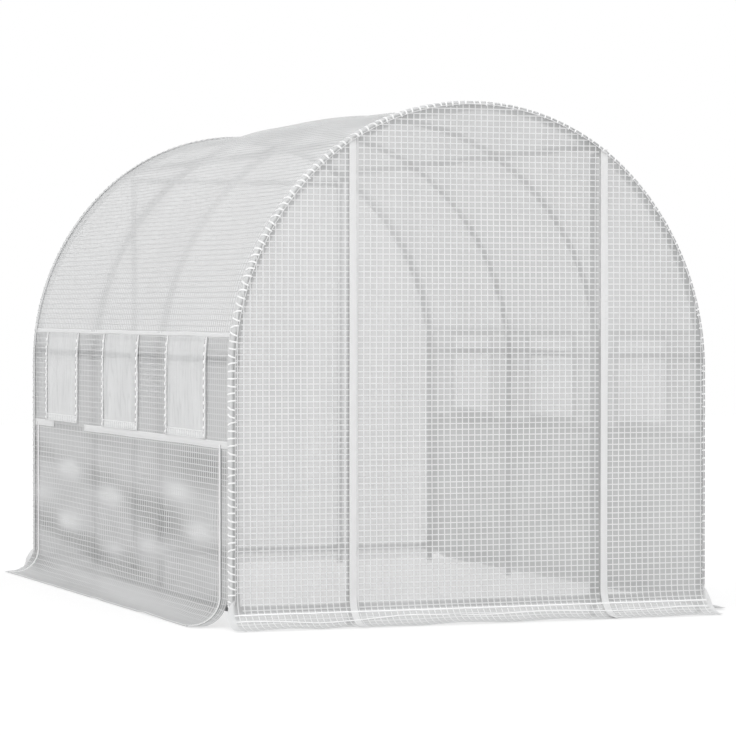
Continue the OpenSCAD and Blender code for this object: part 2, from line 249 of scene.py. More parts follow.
# Mesh making.
def steps(start, stop, step, marks=()):  # lines at about one step, through every mark
    stations = sorted({start, stop, *[m for m in marks if start < m < stop]})
    out = [start]
    for a, b in zip(stations, stations[1:]):
        count = max(1, round((b - a) / step))
        out += [a + (b - a) * k / count for k in range(1, count + 1)]
    return np.array(out)


def meshObject(name, points, faces, flat=None, haze=None):
    mesh = bpy.data.meshes.new(name)
    mesh.from_pydata([tuple(p) for p in points], [], faces)
    if flat is not None:  # one flat place for each point, or for each corner of a face
        flat = np.asarray(flat)
        if len(flat) == len(points):
            corner = np.zeros(len(mesh.loops), int)
            mesh.loops.foreach_get("vertex_index", corner)
            flat = flat[corner]
        mesh.uv_layers.new(name="cut").data.foreach_set("uv", flat.astype(np.float32).ravel())
    # the haze attribute: the film's haze, and on some sheets painted light and shade
    if haze is not None:
        hazeAndShadingValues = mesh.attributes.new("haze", "FLOAT", "POINT")
        hazeAndShadingValues.data.foreach_set("value", np.asarray(haze, np.float32))
    mesh.shade_smooth()
    obj = bpy.data.objects.new(name, mesh)
    bpy.context.scene.collection.objects.link(obj)
    return obj


def weld(obj, distance=2e-5):
    work = bmesh.new()
    work.from_mesh(obj.data)
    bmesh.ops.remove_doubles(work, verts=work.verts, dist=distance)
    loose = [v for v in work.verts if not v.link_faces]
    bmesh.ops.delete(work, geom=loose, context="VERTS")
    work.to_mesh(obj.data)
    work.free()


def gridPatch(u, v, surface, haze=0.0, keep=True):  # surface is a grid of points and their normals
    return (*surface, np.stack([u, v], -1), haze, keep)


def sheetFrom(name, patches, leastQuad=1e-9):  # one welded sheet, with its flat size kept on the object
    points, faces, flats, hazeAndShadingValues = [], [], [], []
    area = 0.0
    for place, normal, flat, haze, keep in patches:
        rows, cols = place.shape[:2]
        index = np.arange(rows * cols).reshape(rows, cols) + sum(len(p) for p in points)
        quads = np.stack([index[:-1, :-1], index[:-1, 1:], index[1:, 1:], index[1:, :-1]], -1)
        across = place[:-1, 1:] - place[:-1, :-1]
        down = place[1:, :-1] - place[:-1, :-1]
        facing = (np.cross(across, down) * normal[:-1, :-1]).sum(-1)
        if facing.sum() < 0:
            quads = quads[..., ::-1]
        a, b = flat[1:, 1:] - flat[:-1, :-1], flat[1:, :-1] - flat[:-1, 1:]
        quadArea = np.abs(a[..., 0] * b[..., 1] - a[..., 1] * b[..., 0]) / 2
        good = keep & (quadArea > leastQuad)
        area += float(quadArea[good].sum())
        faces += [tuple(int(i) for i in q) for q in quads[good]]
        points.append(place.reshape(-1, 3))
        flats.append(flat.reshape(-1, 2))
        hazeAndShadingValues.append(np.broadcast_to(haze, (rows, cols)).reshape(-1))
    flat = np.concatenate(flats)
    obj = meshObject(name, np.concatenate(points), faces, flat, np.concatenate(hazeAndShadingValues))
    weld(obj)
    obj["flatWide"], obj["flatLong"] = [float(x) for x in flat.max(0) - flat.min(0)]
    obj["flatArea"] = area
    obj["flatLow"] = [float(x) for x in flat.min(0)]
    return obj


def sweep(name, centre, sideways, outward, section, capGap=0.1):  # a closed band along a path
    centre, sideways, outward = [np.asarray(a, float) for a in (centre, sideways, outward)]
    count, around = len(centre), len(section)
    length = np.concatenate([[0], np.cumsum(np.linalg.norm(np.diff(centre, axis=0), axis=1))])
    girth = girthOf(section)
    points = np.concatenate([centre + sideways * a + outward * b for a, b in section])
    index = np.arange(count * around).reshape(around, count)
    faces, flat = [], []
    for k in range(around):
        n = (k + 1) % around
        for i in range(count - 1):
            faces.append((int(index[k, i]), int(index[k, i + 1]), int(index[n, i + 1]), int(index[n, i])))
            flat += [(length[i], girth[k]), (length[i + 1], girth[k]),
                     (length[i + 1], girth[k + 1]), (length[i], girth[k + 1])]
    for ring, where in ((index[:, 0], -capGap), (index[::-1, -1], length[-1] + capGap)):
        faces.append(tuple(int(i) for i in ring))
        flat += [(where + b, a) for a, b in (section if where < 0 else section[::-1])]
    obj = meshObject(name, points, faces, flat, np.zeros(len(points)))
    work = bmesh.new()
    work.from_mesh(obj.data)
    bmesh.ops.recalc_face_normals(work, faces=work.faces)
    work.to_mesh(obj.data)
    work.free()
    obj["length"] = float(length[-1])
    return obj


def girthOf(section):  # length round a section at each of its points, and all the way round
    sides = zip(section, [*section[1:], section[0]])
    return np.concatenate([[0], np.cumsum([math.dist(a, b) for a, b in sides])])


def tapeSection(width, thick, rounding=0.6, shoulderIn=0.3, shoulderUp=0.7):  # its back lies on the path
    edge = min(thick * rounding, width / 5)
    half = width / 2
    shoulder = (half - edge * shoulderIn, thick * shoulderUp)
    right = [(half - edge, thick), shoulder, (half, 0.0)]
    return [(-a, b) for a, b in right[::-1]] + right


def outerMiddle(section):  # where round a tape's section the middle of its outer face lies
    return sum(girthOf(section)[2:4]) / 2


def joinPieces(name, pieces):
    bpy.ops.object.select_all(action="DESELECT")
    for piece in pieces:
        piece.select_set(True)
    bpy.context.view_layer.objects.active = pieces[0]
    bpy.ops.object.join()
    pieces[0].name = name
    pieces[0].data.name = name
    return pieces[0]


# Node trees, for the materials and for what repeats.
class Wire:  # a node tree's socket, with the arithmetic of numbers
    def __init__(self, tree, socket=None):
        self.tree = tree
        self.socket = socket

    def node(self, kind, settings=None, sockets=None, out=0):
        made = self.tree.nodes.new(kind)
        for key, value in (settings or {}).items():
            setattr(made, key, value)
        for key, value in (sockets or {}).items():
            target = made.inputs[key]
            if isinstance(value, Wire):
                self.tree.links.new(value.socket, target)
            else:
                target.default_value = value
        return Wire(self.tree, made.outputs[out] if made.outputs else made.inputs[0])

    def outlet(self, index):  # another output of the same node
        return Wire(self.tree, self.socket.node.outputs[index])

    def math(self, operation, first, second=0.0):
        return self.node("ShaderNodeMath", {"operation": operation}, {0: first, 1: second})

    def clip(self):
        return self.node("ShaderNodeMath", {"operation": "ADD", "use_clamp": True}, {0: self, 1: 0.0})

    def __add__(self, other):
        return self.math("ADD", self, other)

    def __radd__(self, other):
        return self.math("ADD", other, self)

    def __sub__(self, other):
        return self.math("SUBTRACT", self, other)

    def __rsub__(self, other):
        return self.math("SUBTRACT", other, self)

    def __mul__(self, other):
        return self.math("MULTIPLY", self, other)

    def __rmul__(self, other):
        return self.math("MULTIPLY", other, self)

    def __lt__(self, other):
        return self.math("LESS_THAN", self, other)


def newMaterial(name):
    material = bpy.data.materials.new(name)
    material.use_nodes = True
    material.node_tree.nodes.clear()
    return material, Wire(material.node_tree)


def finishMaterial(w, **sockets):  # one Principled shader, its sockets by name
    shader = w.node("ShaderNodeBsdfPrincipled", {}, {k.replace("_", " "): v for k, v in sockets.items()})
    w.node("ShaderNodeOutputMaterial", {}, {"Surface": shader})


def finishThin(w, s, colour, cover, roughness, normal):  # a sheet that lights up through, and hides in part
    # The emission is painted light: glow paints a highlight onto the sheet.
    front = w.node("ShaderNodeBsdfPrincipled", {}, {
        "Base Color": colour, "Roughness": roughness, "Normal": normal,
        "Emission Color": colour, "Emission Strength": s["glow"]})
    back = w.node("ShaderNodeBsdfTranslucent", {}, {"Color": (*[s["shade"] * t for t in s["tint"]], 1)})
    lit = w.node("ShaderNodeMixShader", {}, {0: s["through"], 1: front, 2: back})
    clear = w.node("ShaderNodeBsdfTransparent")
    shown = w.node("ShaderNodeMixShader", {}, {0: cover, 1: clear, 2: lit})
    w.node("ShaderNodeOutputMaterial", {}, {"Surface": shown})


def grey(w, value, tint=(1.0, 1.0, 1.0)):  # a number as a nearly neutral colour
    dark = (0, 0, 0, 1)
    return w.node("ShaderNodeMix", {"data_type": "RGBA"}, {0: value, 6: dark, 7: (*tint, 1)}, 2)


def flatPlace(w):
    return w.node("ShaderNodeUVMap", {"uv_map": "cut"})


def objectPlace(w):
    return w.node("ShaderNodeTexCoord", {}, {}, 3)


def noise(w, vector, scale, detail=2.0, roughness=0.5):
    return w.node("ShaderNodeTexNoise", {"noise_dimensions": "3D"},
                  {"Vector": vector, "Scale": scale, "Detail": detail, "Roughness": roughness})


def stretchedNoise(w, vector, scale, detail, roughness=0.5):
    longer = w.node("ShaderNodeMapping", {}, {"Vector": vector, "Scale": scale})
    return noise(w, longer, 1.0, detail, roughness)


def bands(w, place, direction, scale, distortion):
    return w.node("ShaderNodeTexWave", {"wave_type": "BANDS", "bands_direction": direction},
                  {"Vector": place, "Scale": scale, "Distortion": distortion}, 1)


def bump(w, height, strength, distance):
    return w.node("ShaderNodeBump", {}, {"Height": height, "Strength": strength, "Distance": distance})


# In every look, shade is lightness, cover the share of what lies behind that is hidden,
# through the share of the light that goes on through, and glow a little painted light, an emission that
# stands in for the light the part catches.
filmLook = {
    "shade": 0.80,
    "cover": 0.50,
    "through": 0.30,
    "glow": 0.0,
    # Full haze adds this to lightness: the film's haze, and painted highlight and shade at puckers, creases
    # and crinkles.
    "hazeShade": 0.20,  # what full haze adds
    "hazeCover": 0.55,
    "cloudScale": 2.3,
    "cloud": 0.05,
    "grainScale": 900.0,
    "grain": 0.03,
    # Painted shade: streak lays soft upright bands of darker and lighter film, as folds would shade it.
    "streakScale": (9.0, 0.7, 1.0),
    "streak": 0.0,  # soft upright bands of shade
    "foldScale": (22.0, 5.0, 1.0),
    "fold": 0.25,
    "foldDepth": 0.01,
    "fineScale": 60.0,
    "fine": 0.15,
    "roughness": 0.42,
    "roughCloud": 0.3,
    "tint": (0.992, 0.998, 1.0),
}


def filmMaterial(name, **changes):
    s = {**filmLook, **changes}
    material, w = newMaterial(name)
    place = flatPlace(w)
    haze = w.node("ShaderNodeAttribute", {"attribute_name": "haze"}, {}, 2)
    cloud = noise(w, place, s["cloudScale"], 3.0) - 0.5
    grain = (noise(w, place, s["grainScale"], 1.0) - 0.5) * s["grain"]
    # painted shade of soft upright folds
    streak = (stretchedNoise(w, place, s["streakScale"], 3.0) - 0.5) * s["streak"]
    shade = (s["shade"] + streak + haze * s["hazeShade"] + cloud * s["cloud"] * 2 + grain).clip()
    cover = (s["cover"] + haze * s["hazeCover"] + cloud * s["cloud"]).clip()
    crease = stretchedNoise(w, place, s["foldScale"], 4.0, 0.55)
    normal = bump(w, crease + noise(w, place, s["fineScale"]) * s["fine"], s["fold"], s["foldDepth"])
    rough = (s["roughness"] + cloud * s["roughCloud"]).clip()
    finishThin(w, s, grey(w, shade, s["tint"]), cover, rough, normal)
    return material


wovenLook = {"shade": 0.90, "cover": 1.0, "through": 0.12, "glow": 0.0, "tint": (0.995, 0.998, 1.0)}
threadLook = {
    **wovenLook,
    "weaveScale": 500.0,
    "weave": 0.02,
    "weaveBump": 0.3,
    "weaveDepth": 0.0005,
    "cloudScale": 35.0,
    "cloud": 0.06,
    "roughness": 0.55,
}
tapeLook = {
    **wovenLook,
    "weaveScale": 320.0,
    "weave": 0.03,
    "weaveBump": 0.35,
    "weaveDepth": 0.0006,
    "cloudScale": 14.0,
    "cloud": 0.05,
    "roughness": 0.6,
    "roughCloud": 0.2,
}
netLook = {
    **wovenLook,
    "shade": 0.84,
    "through": 0.3,
    "pitch": 0.0022,
    "yarn": 0.0005,
    "yarnCover": 0.4,
    "gapCover": 0.03,
    "yarnBump": 0.3,
    "yarnDepth": 0.0005,
    "cloudScale": 25.0,
    "cloud": 0.08,
    "roughness": 0.6,
}
steelLook = {
    "shade": 0.36,
    "metal": 0.45,
    "roughness": 0.42,
    "spangleScale": 90.0,
    "spangle": 0.10,  # in shade and in roughness
    "cloudScale": 6.0,
    "cloud": 0.12,
    "roughCloud": 0.25,
    "scratchScale": 220.0,
    "scratch": 0.08,
    "scratchDepth": 0.001,
    "tint": (0.96, 0.98, 1.0),
}
plasticLook = {
    "shade": 0.17,
    "roughness": 0.5,
    "cloudScale": 9.0,
    "cloud": 0.06,
    "roughCloud": 0.3,
    "grainScale": 420.0,
    "grain": 0.15,
    "grainDepth": 0.0008,
    "tint": (0.97, 0.98, 1.0),
}


def threadMaterial(name, **changes):
    s = {**threadLook, **changes}
    material, w = newMaterial(name)
    place = flatPlace(w)
    weave = bands(w, place, "DIAGONAL", s["weaveScale"], 0.6)
    cloud = noise(w, place, s["cloudScale"]) - 0.5
    shade = (s["shade"] + cloud * s["cloud"] + weave * s["weave"]).clip()
    normal = bump(w, weave, s["weaveBump"], s["weaveDepth"])
    finishThin(w, s, grey(w, shade, s["tint"]), s["cover"], s["roughness"], normal)
    return material


def tapeMaterial(name, **changes):
    s = {**tapeLook, **changes}
    material, w = newMaterial(name)
    place = flatPlace(w)
    across = bands(w, place, "X", s["weaveScale"], 0.3)
    along = bands(w, place, "Y", s["weaveScale"], 0.3)
    weave = across * along
    cloud = noise(w, place, s["cloudScale"], 3.0) - 0.5
    shade = (s["shade"] + cloud * s["cloud"] + weave * s["weave"]).clip()
    rough = (s["roughness"] + cloud * s["roughCloud"]).clip()
    normal = bump(w, weave, s["weaveBump"], s["weaveDepth"])
    finishThin(w, s, grey(w, shade, s["tint"]), s["cover"], rough, normal)
    return material


def netMaterial(name, s):
    material, w = newMaterial(name)
    place = flatPlace(w)
    parts = w.node("ShaderNodeSeparateXYZ", {}, {0: place})
    fromYarn = [w.math("PINGPONG", parts.outlet(k), s["pitch"] / 2) for k in (0, 1)]
    yarn = w.math("MAXIMUM", *[distance < s["yarn"] / 2 for distance in fromYarn])
    colour = grey(w, noise(w, place, s["cloudScale"]) * s["cloud"] + s["shade"], s["tint"])
    cover = yarn * s["yarnCover"] + s["gapCover"]
    finishThin(w, s, colour, cover, s["roughness"], bump(w, yarn, s["yarnBump"], s["yarnDepth"]))
    return material


def tubeMaterial(name, s):
    material, w = newMaterial(name)
    place = objectPlace(w)
    spangle = w.node("ShaderNodeTexVoronoi", {"feature": "F1"},
                     {"Vector": place, "Scale": s["spangleScale"]})
    cloud = noise(w, place, s["cloudScale"], 4.0) - 0.5
    shade = (s["shade"] + spangle * s["spangle"] + cloud * s["cloud"]).clip()
    rough = (s["roughness"] + cloud * s["roughCloud"] + spangle * s["spangle"]).clip()
    normal = bump(w, noise(w, place, s["scratchScale"]), s["scratch"], s["scratchDepth"])
    finishMaterial(w, Base_Color=grey(w, shade, s["tint"]), Metallic=s["metal"],
                   Roughness=rough, Normal=normal)
    return material


def mouldedMaterial(name, s):
    material, w = newMaterial(name)
    place = objectPlace(w)
    cloud = noise(w, place, s["cloudScale"], 3.0) - 0.5
    shade = (s["shade"] + cloud * s["cloud"]).clip()
    rough = (s["roughness"] + cloud * s["roughCloud"]).clip()
    normal = bump(w, noise(w, place, s["grainScale"]), s["grain"], s["grainDepth"])
    finishMaterial(w, Base_Color=grey(w, shade, s["tint"]), Roughness=rough, Normal=normal)
    return material


frontFilm = filmMaterial("frontFilm", shade=0.76, cover=0.66, hazeShade=0.16, streak=0.26,
                         fold=0.8, foldScale=(11.0, 1.2, 1.0))
roofFilm = filmMaterial("roofFilm", shade=0.86, cover=0.74, hazeCover=0.25)
# wallFilm and panelFilm are the roof's sheeting set darker: painted shade for the sides, which take less
# light.
wallFilm = filmMaterial("wallFilm", shade=0.655, cover=0.86, hazeCover=0.25, through=0.55)
panelFilm = filmMaterial("panelFilm", shade=0.50, cover=0.88, through=0.36, hazeShade=0.52, hazeCover=0.1)
backFilm = filmMaterial("backFilm", cover=0.48, hazeCover=0.25)
# flapFilm glows a little: painted light that brightens the window flaps.
flapFilm = filmMaterial("flapFilm", shade=0.86, cover=0.84, hazeShade=0.6, hazeCover=0.1,
                        through=0.44, glow=0.07)
hemFilm = filmMaterial("hemFilm", shade=0.95, cover=0.92, through=0.2)
# frontThread and sideThread glow: painted highlight on the threads.
frontThread = threadMaterial("frontThread", shade=0.95, cover=0.88, through=0.25, glow=0.05)
# roofThread is set darker than the other threads: painted shade, for threads that look dark against the lit
# inside.
roofThread = threadMaterial("roofThread", shade=0.79, cover=0.55, through=0.25)
sideThread = threadMaterial("sideThread", shade=0.96, cover=0.68, through=0.22, glow=0.05)
backThread = threadMaterial("backThread", cover=0.55, through=0.3)
# stitchThread, the tapes and the zip teeth glow too: painted highlight, strongest on the stitches, hem
# lacing, skirt lines and zip teeth.
stitchThread = threadMaterial("stitchThread", shade=0.97, glow=0.16)
wovenTape = tapeMaterial("wovenTape", shade=0.91, through=0.16, glow=0.02)
zipTape = tapeMaterial("zipTape", shade=0.95, glow=0.05)
zipTeeth = tapeMaterial("zipTeeth", shade=0.95, roughness=0.35, glow=0.16)
# seamCord is a dark cord; at the end walls' corners it stands in part for shade in the slit there.
seamCord = tapeMaterial("seamCord", shade=0.30, roughness=0.7)
netCloth = netMaterial("netCloth", netLook)
steel = tubeMaterial("galvanisedSteel", steelLook)
plastic = mouldedMaterial("mouldedPlastic", plasticLook)
print("materials made")


def dress(piece, material, slotName, *nodes):  # its finish, its body and the CAD nodes it stands for
    piece.data.materials.clear()
    piece.data.materials.append(material)
    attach(piece, "root")
    if nodes:
        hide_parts(*nodes)
    return piece


# The reinforcing threads, welded into the film as a grid of flat ribbons.
threadSettings = {
    "pitchWide": 0.0258,  # between threads that run up
    "pitchHigh": 0.0228,  # between threads that run across
    "width": 0.0046,
    "widthUp": 0.0046,
    "clear": 0.001,  # from the film's edge
    "lift": 0.0005,
}
roofThreadSettings = {**threadSettings, "widthUp": 0.0065}
sideThreadSettings = {**threadSettings, "width": 0.0040, "widthUp": 0.0085}


def groupInputs(tree, names):
    for name, kind in names:
        tree.interface.new_socket(name=name, in_out="INPUT", socket_type="NodeSocket" + kind)
    tree.interface.new_socket(name="Geometry", in_out="OUTPUT", socket_type="NodeSocketGeometry")
    node = tree.nodes.new("NodeGroupInput")
    return {name: Wire(tree, node.outputs[name]) for name, kind in names}


def setInputs(modifier, tree, values):
    for item in tree.interface.items_tree:
        if item.item_type == "SOCKET" and item.in_out == "INPUT" and item.name in values:
            modifier[item.identifier] = values[item.name]


# What repeats is laid out flat, with its height over the sheet as z, and the flat map carries it there.
def layOn(tree, i, flat):
    w = i["Lift"]
    sheet = w.node("GeometryNodeObjectInfo", {"transform_space": "ORIGINAL"}, {"Object": i["Sheet"]}, 4)
    cut = w.node("GeometryNodeInputNamedAttribute", {"data_type": "FLOAT_VECTOR"}, {"Name": "cut"})
    place = w.node("GeometryNodeInputPosition")
    normal = w.node("GeometryNodeInputNormal")
    height = w.node("ShaderNodeSeparateXYZ", {}, {0: place}, 2)

    def sampled(value):
        return w.node("GeometryNodeSampleUVSurface", {"data_type": "FLOAT_VECTOR"}, {
            "Mesh": sheet, "Value": value, "UV Map": cut, "Sample UV": place})

    onSheet = sampled(place)
    missed = w.node("FunctionNodeBooleanMath", {"operation": "NOT"}, {0: onSheet.outlet(1)})
    lifted = w.node("ShaderNodeVectorMath", {"operation": "SCALE"}, {
        0: sampled(normal), "Scale": height + i["Lift"]})
    target = w.node("ShaderNodeVectorMath", {"operation": "ADD"}, {0: onSheet, 1: lifted})
    stored = w.node("GeometryNodeStoreNamedAttribute", {"data_type": "FLOAT2", "domain": "CORNER"},
                    {"Geometry": flat, "Name": "cut", 3: place})
    kept = w.node("GeometryNodeDeleteGeometry", {"domain": "POINT"}, {
        "Geometry": stored, "Selection": missed})
    placed = w.node("GeometryNodeSetPosition", {}, {"Geometry": kept, "Position": target})
    turned = w.node("GeometryNodeFlipFaces", {}, {0: placed, 1: i["Mirrored"]})
    real = w.node("GeometryNodeRealizeInstances", {}, {0: turned})
    done = w.node("GeometryNodeSetMaterial", {}, {"Geometry": real, "Material": i["Material"]})
    w.node("NodeGroupOutput", {}, {0: done})
    return tree


layInputs = [("Sheet", "Object"), ("Lift", "Float"), ("Mirrored", "Bool"), ("Material", "Material")]


def threadTree():  # flat ribbons on a grid of lines
    tree = bpy.data.node_groups.new("threadGrid", "GeometryNodeTree")
    i = groupInputs(tree, [
        *layInputs, ("First Up", "Float"), ("Pitch Up", "Float"), ("Count Up", "Int"),
        ("First Across", "Float"), ("Pitch Across", "Float"), ("Count Across", "Int"),
        ("Low Wide", "Float"), ("High Wide", "Float"), ("Low High", "Float"), ("High High", "Float"),
        ("Segments Up", "Int"), ("Segments Across", "Int"),
        ("Width Up", "Float"), ("Width Across", "Float"),
    ])
    w = i["Width Up"]

    def vector(x=0.0, y=0.0):
        return w.node("ShaderNodeCombineXYZ", {}, {0: x, 1: y})

    def ribbons(lines, wide, high, xCount, yCount):
        grid = w.node("GeometryNodeMeshGrid", {}, {0: wide, 1: high, 2: xCount, 3: yCount})
        return w.node("GeometryNodeInstanceOnPoints", {}, {"Points": lines, "Instance": grid})

    middleHigh = (i["Low High"] + i["High High"]) * 0.5
    middleWide = (i["Low Wide"] + i["High Wide"]) * 0.5
    upLines = w.node("GeometryNodeMeshLine", {}, {
        "Count": i["Count Up"], "Start Location": vector(i["First Up"], middleHigh),
        "Offset": vector(i["Pitch Up"])})
    acrossLines = w.node("GeometryNodeMeshLine", {}, {
        "Count": i["Count Across"], "Start Location": vector(middleWide, i["First Across"]),
        "Offset": vector(0.0, i["Pitch Across"])})
    high = i["High High"] - i["Low High"]
    wide = i["High Wide"] - i["Low Wide"]
    up = ribbons(upLines, i["Width Up"], high, 2, i["Segments Up"])
    across = ribbons(acrossLines, wide, i["Width Across"], i["Segments Across"], 2)
    join = tree.nodes.new("GeometryNodeJoinGeometry")
    for part in (up, across):
        tree.links.new(part.socket, join.inputs[0])
    return layOn(tree, i, w.node("GeometryNodeRealizeInstances", {}, {0: Wire(tree, join.outputs[0])}))


def markTree():  # short flattened rods at points, each turned by its own angle and a little chance
    tree = bpy.data.node_groups.new("marks", "GeometryNodeTree")
    i = groupInputs(tree, [
        ("Points", "Geometry"), *layInputs, ("Length", "Float"), ("Width", "Float"),
        ("Flatness", "Float"), ("Segments", "Int"), ("Tilt", "Float"), ("Spread", "Float"), ("Seed", "Int"),
    ])
    w = i["Width"]

    def vector(x=0.0, y=0.0, z=0.0):
        return w.node("ShaderNodeCombineXYZ", {}, {0: x, 1: y, 2: z})

    def chance(middle, spread, seed):
        return w.node("FunctionNodeRandomValue", {"data_type": "FLOAT"},
                      {2: middle - spread, 3: middle + spread, "Seed": seed}, 1)

    rod = w.node("GeometryNodeMeshCylinder", {}, {
        "Vertices": 6, "Side Segments": i["Segments"], "Radius": w * 0.5, "Depth": i["Length"]})
    lying = w.node("GeometryNodeTransform", {}, {"Geometry": rod, "Rotation": (0, math.pi / 2, 0)})
    flatter = w.node("GeometryNodeTransform", {}, {
        "Geometry": lying, "Translation": vector(0.0, 0.0, w * i["Flatness"] * 0.5),
        "Scale": vector(1.0, 1.0, i["Flatness"])})
    turn = w.node("GeometryNodeInputNamedAttribute", {"data_type": "FLOAT"}, {"Name": "turn"})
    placed = w.node("GeometryNodeInstanceOnPoints", {}, {
        "Points": i["Points"], "Instance": flatter,
        "Rotation": vector(0.0, 0.0, turn + chance(0.0, i["Tilt"], i["Seed"])),
        "Scale": vector(chance(1.0, i["Spread"], i["Seed"] + 1.0), 1.0, 1.0)})
    return layOn(tree, i, w.node("GeometryNodeRealizeInstances", {}, {0: placed}))


threadGrid = threadTree()
markRods = markTree()


def isMirrored(sheet):  # whether the flat map runs the other way round from the outward faces
    flat = np.zeros(len(sheet.data.loops) * 2, np.float32)
    sheet.data.uv_layers["cut"].data.foreach_get("uv", flat)
    flat = flat.reshape(-1, 2)
    starts = np.array([face.loop_start for face in sheet.data.polygons])
    first = (flat[starts + 1] - flat[starts]).T
    second = (flat[starts + 2] - flat[starts]).T
    return bool((first[0] * second[1] - first[1] * second[0]).sum() < 0)


def bake(name, tree, values, base=None):  # runs a tree once and keeps the plain mesh
    holder = base or bpy.data.objects.new(name + "Maker", bpy.data.meshes.new(name + "Maker"))
    if base is None:
        bpy.context.scene.collection.objects.link(holder)
    modifier = holder.modifiers.new("maker", "NODES")
    modifier.node_group = tree
    setInputs(modifier, tree, values)
    bpy.context.view_layer.update()
    evaluated = holder.evaluated_get(bpy.context.evaluated_depsgraph_get())
    mesh = bpy.data.meshes.new_from_object(evaluated)
    mesh.name = name
    bpy.data.objects.remove(holder)
    obj = bpy.data.objects.new(name, mesh)
    bpy.context.scene.collection.objects.link(obj)
    return obj


def threadLines(low, size, pitch, s):  # first line, count, and both ends, along one side of a sheet's flat
    first = math.ceil((low + s["width"]) / pitch) * pitch
    high = low + size - s["clear"]
    return first, int((high - s["width"] / 2 - first) / pitch) + 1, low + s["clear"], high


def threadsFor(sheet, name, material, s=threadSettings):
    wide, high = sheet["flatWide"], sheet["flatLong"]
    firstUp, countUp, lowWide, highWide = threadLines(sheet["flatLow"][0], wide, s["pitchWide"], s)
    firstAcross, countAcross, lowHigh, highHigh = threadLines(sheet["flatLow"][1], high, s["pitchHigh"], s)
    made = bake(name, threadGrid, {
        "Sheet": sheet, "Mirrored": isMirrored(sheet), "Material": material, "Lift": s["lift"],
        "First Up": firstUp, "Pitch Up": s["pitchWide"], "Count Up": countUp, "Width Up": s["widthUp"],
        "First Across": firstAcross, "Pitch Across": s["pitchHigh"], "Count Across": countAcross,
        "Width Across": s["width"],
        "Low Wide": lowWide, "High Wide": highWide, "Low High": lowHigh, "High High": highHigh,
        "Segments Up": int(high / s["pitchHigh"]) + 2, "Segments Across": int(wide / s["pitchWide"]) + 2})
    made.data.shade_smooth()
    dress(made, material, "cover_film")
    print("threads laid:", name, len(made.data.polygons))
    return made


# What a row of marks has unless its own settings say otherwise.
markSettings = {"lift": 0.0, "flatness": 0.6, "segments": 1, "tilt": 0.1, "spread": 0.1}


def marksOn(sheet, name, places, turns, changes, material):
    s = {**markSettings, **changes}
    base = meshObject(name + "Points", [(float(x), float(y), 0.0) for x, y in places], [])
    turned = base.data.attributes.new("turn", "FLOAT", "POINT")
    turned.data.foreach_set("value", np.asarray(turns, np.float32))
    made = bake(name, markRods, {
        "Sheet": sheet, "Mirrored": isMirrored(sheet), "Material": material, "Lift": s["lift"],
        "Length": s["length"], "Width": s["width"], "Flatness": s["flatness"], "Segments": s["segments"],
        "Tilt": s["tilt"], "Spread": s["spread"], "Seed": s["seed"]}, base)
    made.data.shade_smooth()
    return made


def rowOn(band, name, at, s, material, turn=0.0, ends=0.004):  # marks in a row along a band's outer face
    places = [(x, at) for x in np.arange(ends, band["length"] - ends, s["pitch"])]
    return marksOn(band, name, places, [turn] * len(places), s, material)


def declareSheet(sheet, restsOn, pieces):
    min(sheet["flatArea"], sheet["flatWide"] * sheet["flatLong"])


# The roof and the sides. A place on them is y along the tunnel and s out from the ridge.
upperS = lengthAtHeight((upperTape[0] + upperTape[1]) / 2)
lowerS = lengthAtHeight((lowerTape[0] + lowerTape[1]) / 2)
groundS = archLength + legLength  # where the skirt's bend begins
flatS = groundS + bendLength  # where the skirt lies flat
edgeS = groundS + flareLength
barDepth = 0.019  # from the film down to a roof bar's middle
barS = [0.0, lengthAtX(upperBarX * crownRadius / (crownRadius - barDepth)), lengthAtHeight(sideBarZ)]

coverSettings = {
    "lift": -0.0015,  # inside the outline
    "mostOut": 0.001,  # that a crease may stand proud
    "step": 0.032,
    "sag": 0.009,  # between hoops and bars
    "slack": 0.8,  # lower gives a flatter bottom to the sag
    "crease": 0.0016,
    "creaseSize": 0.16,
    "creaseStretch": 0.35,
    "humpHeight": 0.020,
    "humpPlace": (0.02, -0.10),  # y and s
    "humpSize": (0.50, 0.40),
    "humpClear": 0.12,  # round the second hoop
    "swell": 0.008,  # outward on the flanks
    "swellPlace": 0.42,  # from the top of a leg
    "swellSize": 0.3,
    "hemEase": 0.1,
    "haze": 0.35,
    "hazeWave": 0.12,
    "hazeSize": 0.7,
}


def spanShare(at, supports):  # 0 on a support, 1 midway between two
    share = np.zeros_like(at)
    for a, b in zip(supports, supports[1:]):
        inside = (at >= a) & (at <= b)
        share = np.where(inside, np.sin(math.pi * np.clip((at - a) / (b - a), 0, 1)), share)
    return share


def bayShare(y):
    return spanShare(y, hoopY)


def roofLift(y, s, c=coverSettings):
    sag = -c["sag"] * bayShare(y) ** c["slack"] * spanShare(np.abs(s), barS) ** c["slack"]
    offHoop = 1 - np.exp(-((y - hoopY[1]) / c["humpClear"]) ** 2)
    top = c["humpHeight"] * hump(y, s, c["humpPlace"], c["humpSize"]) * offHoop
    crease = c["crease"] * ripple(y, s, c["creaseSize"], 5, c["creaseStretch"])
    crease = crease * np.minimum(1, bayShare(y) * 2)
    swell = c["swell"] * np.exp(-((np.abs(s) - archLength + c["swellPlace"]) / c["swellSize"]) ** 2)
    loose = np.clip((halfLong - hemWide - np.abs(y)) / c["hemEase"], 0, 1)  # held down under the hems
    return c["lift"] + sag + top + (swell + np.minimum(crease, c["mostOut"])) * loose


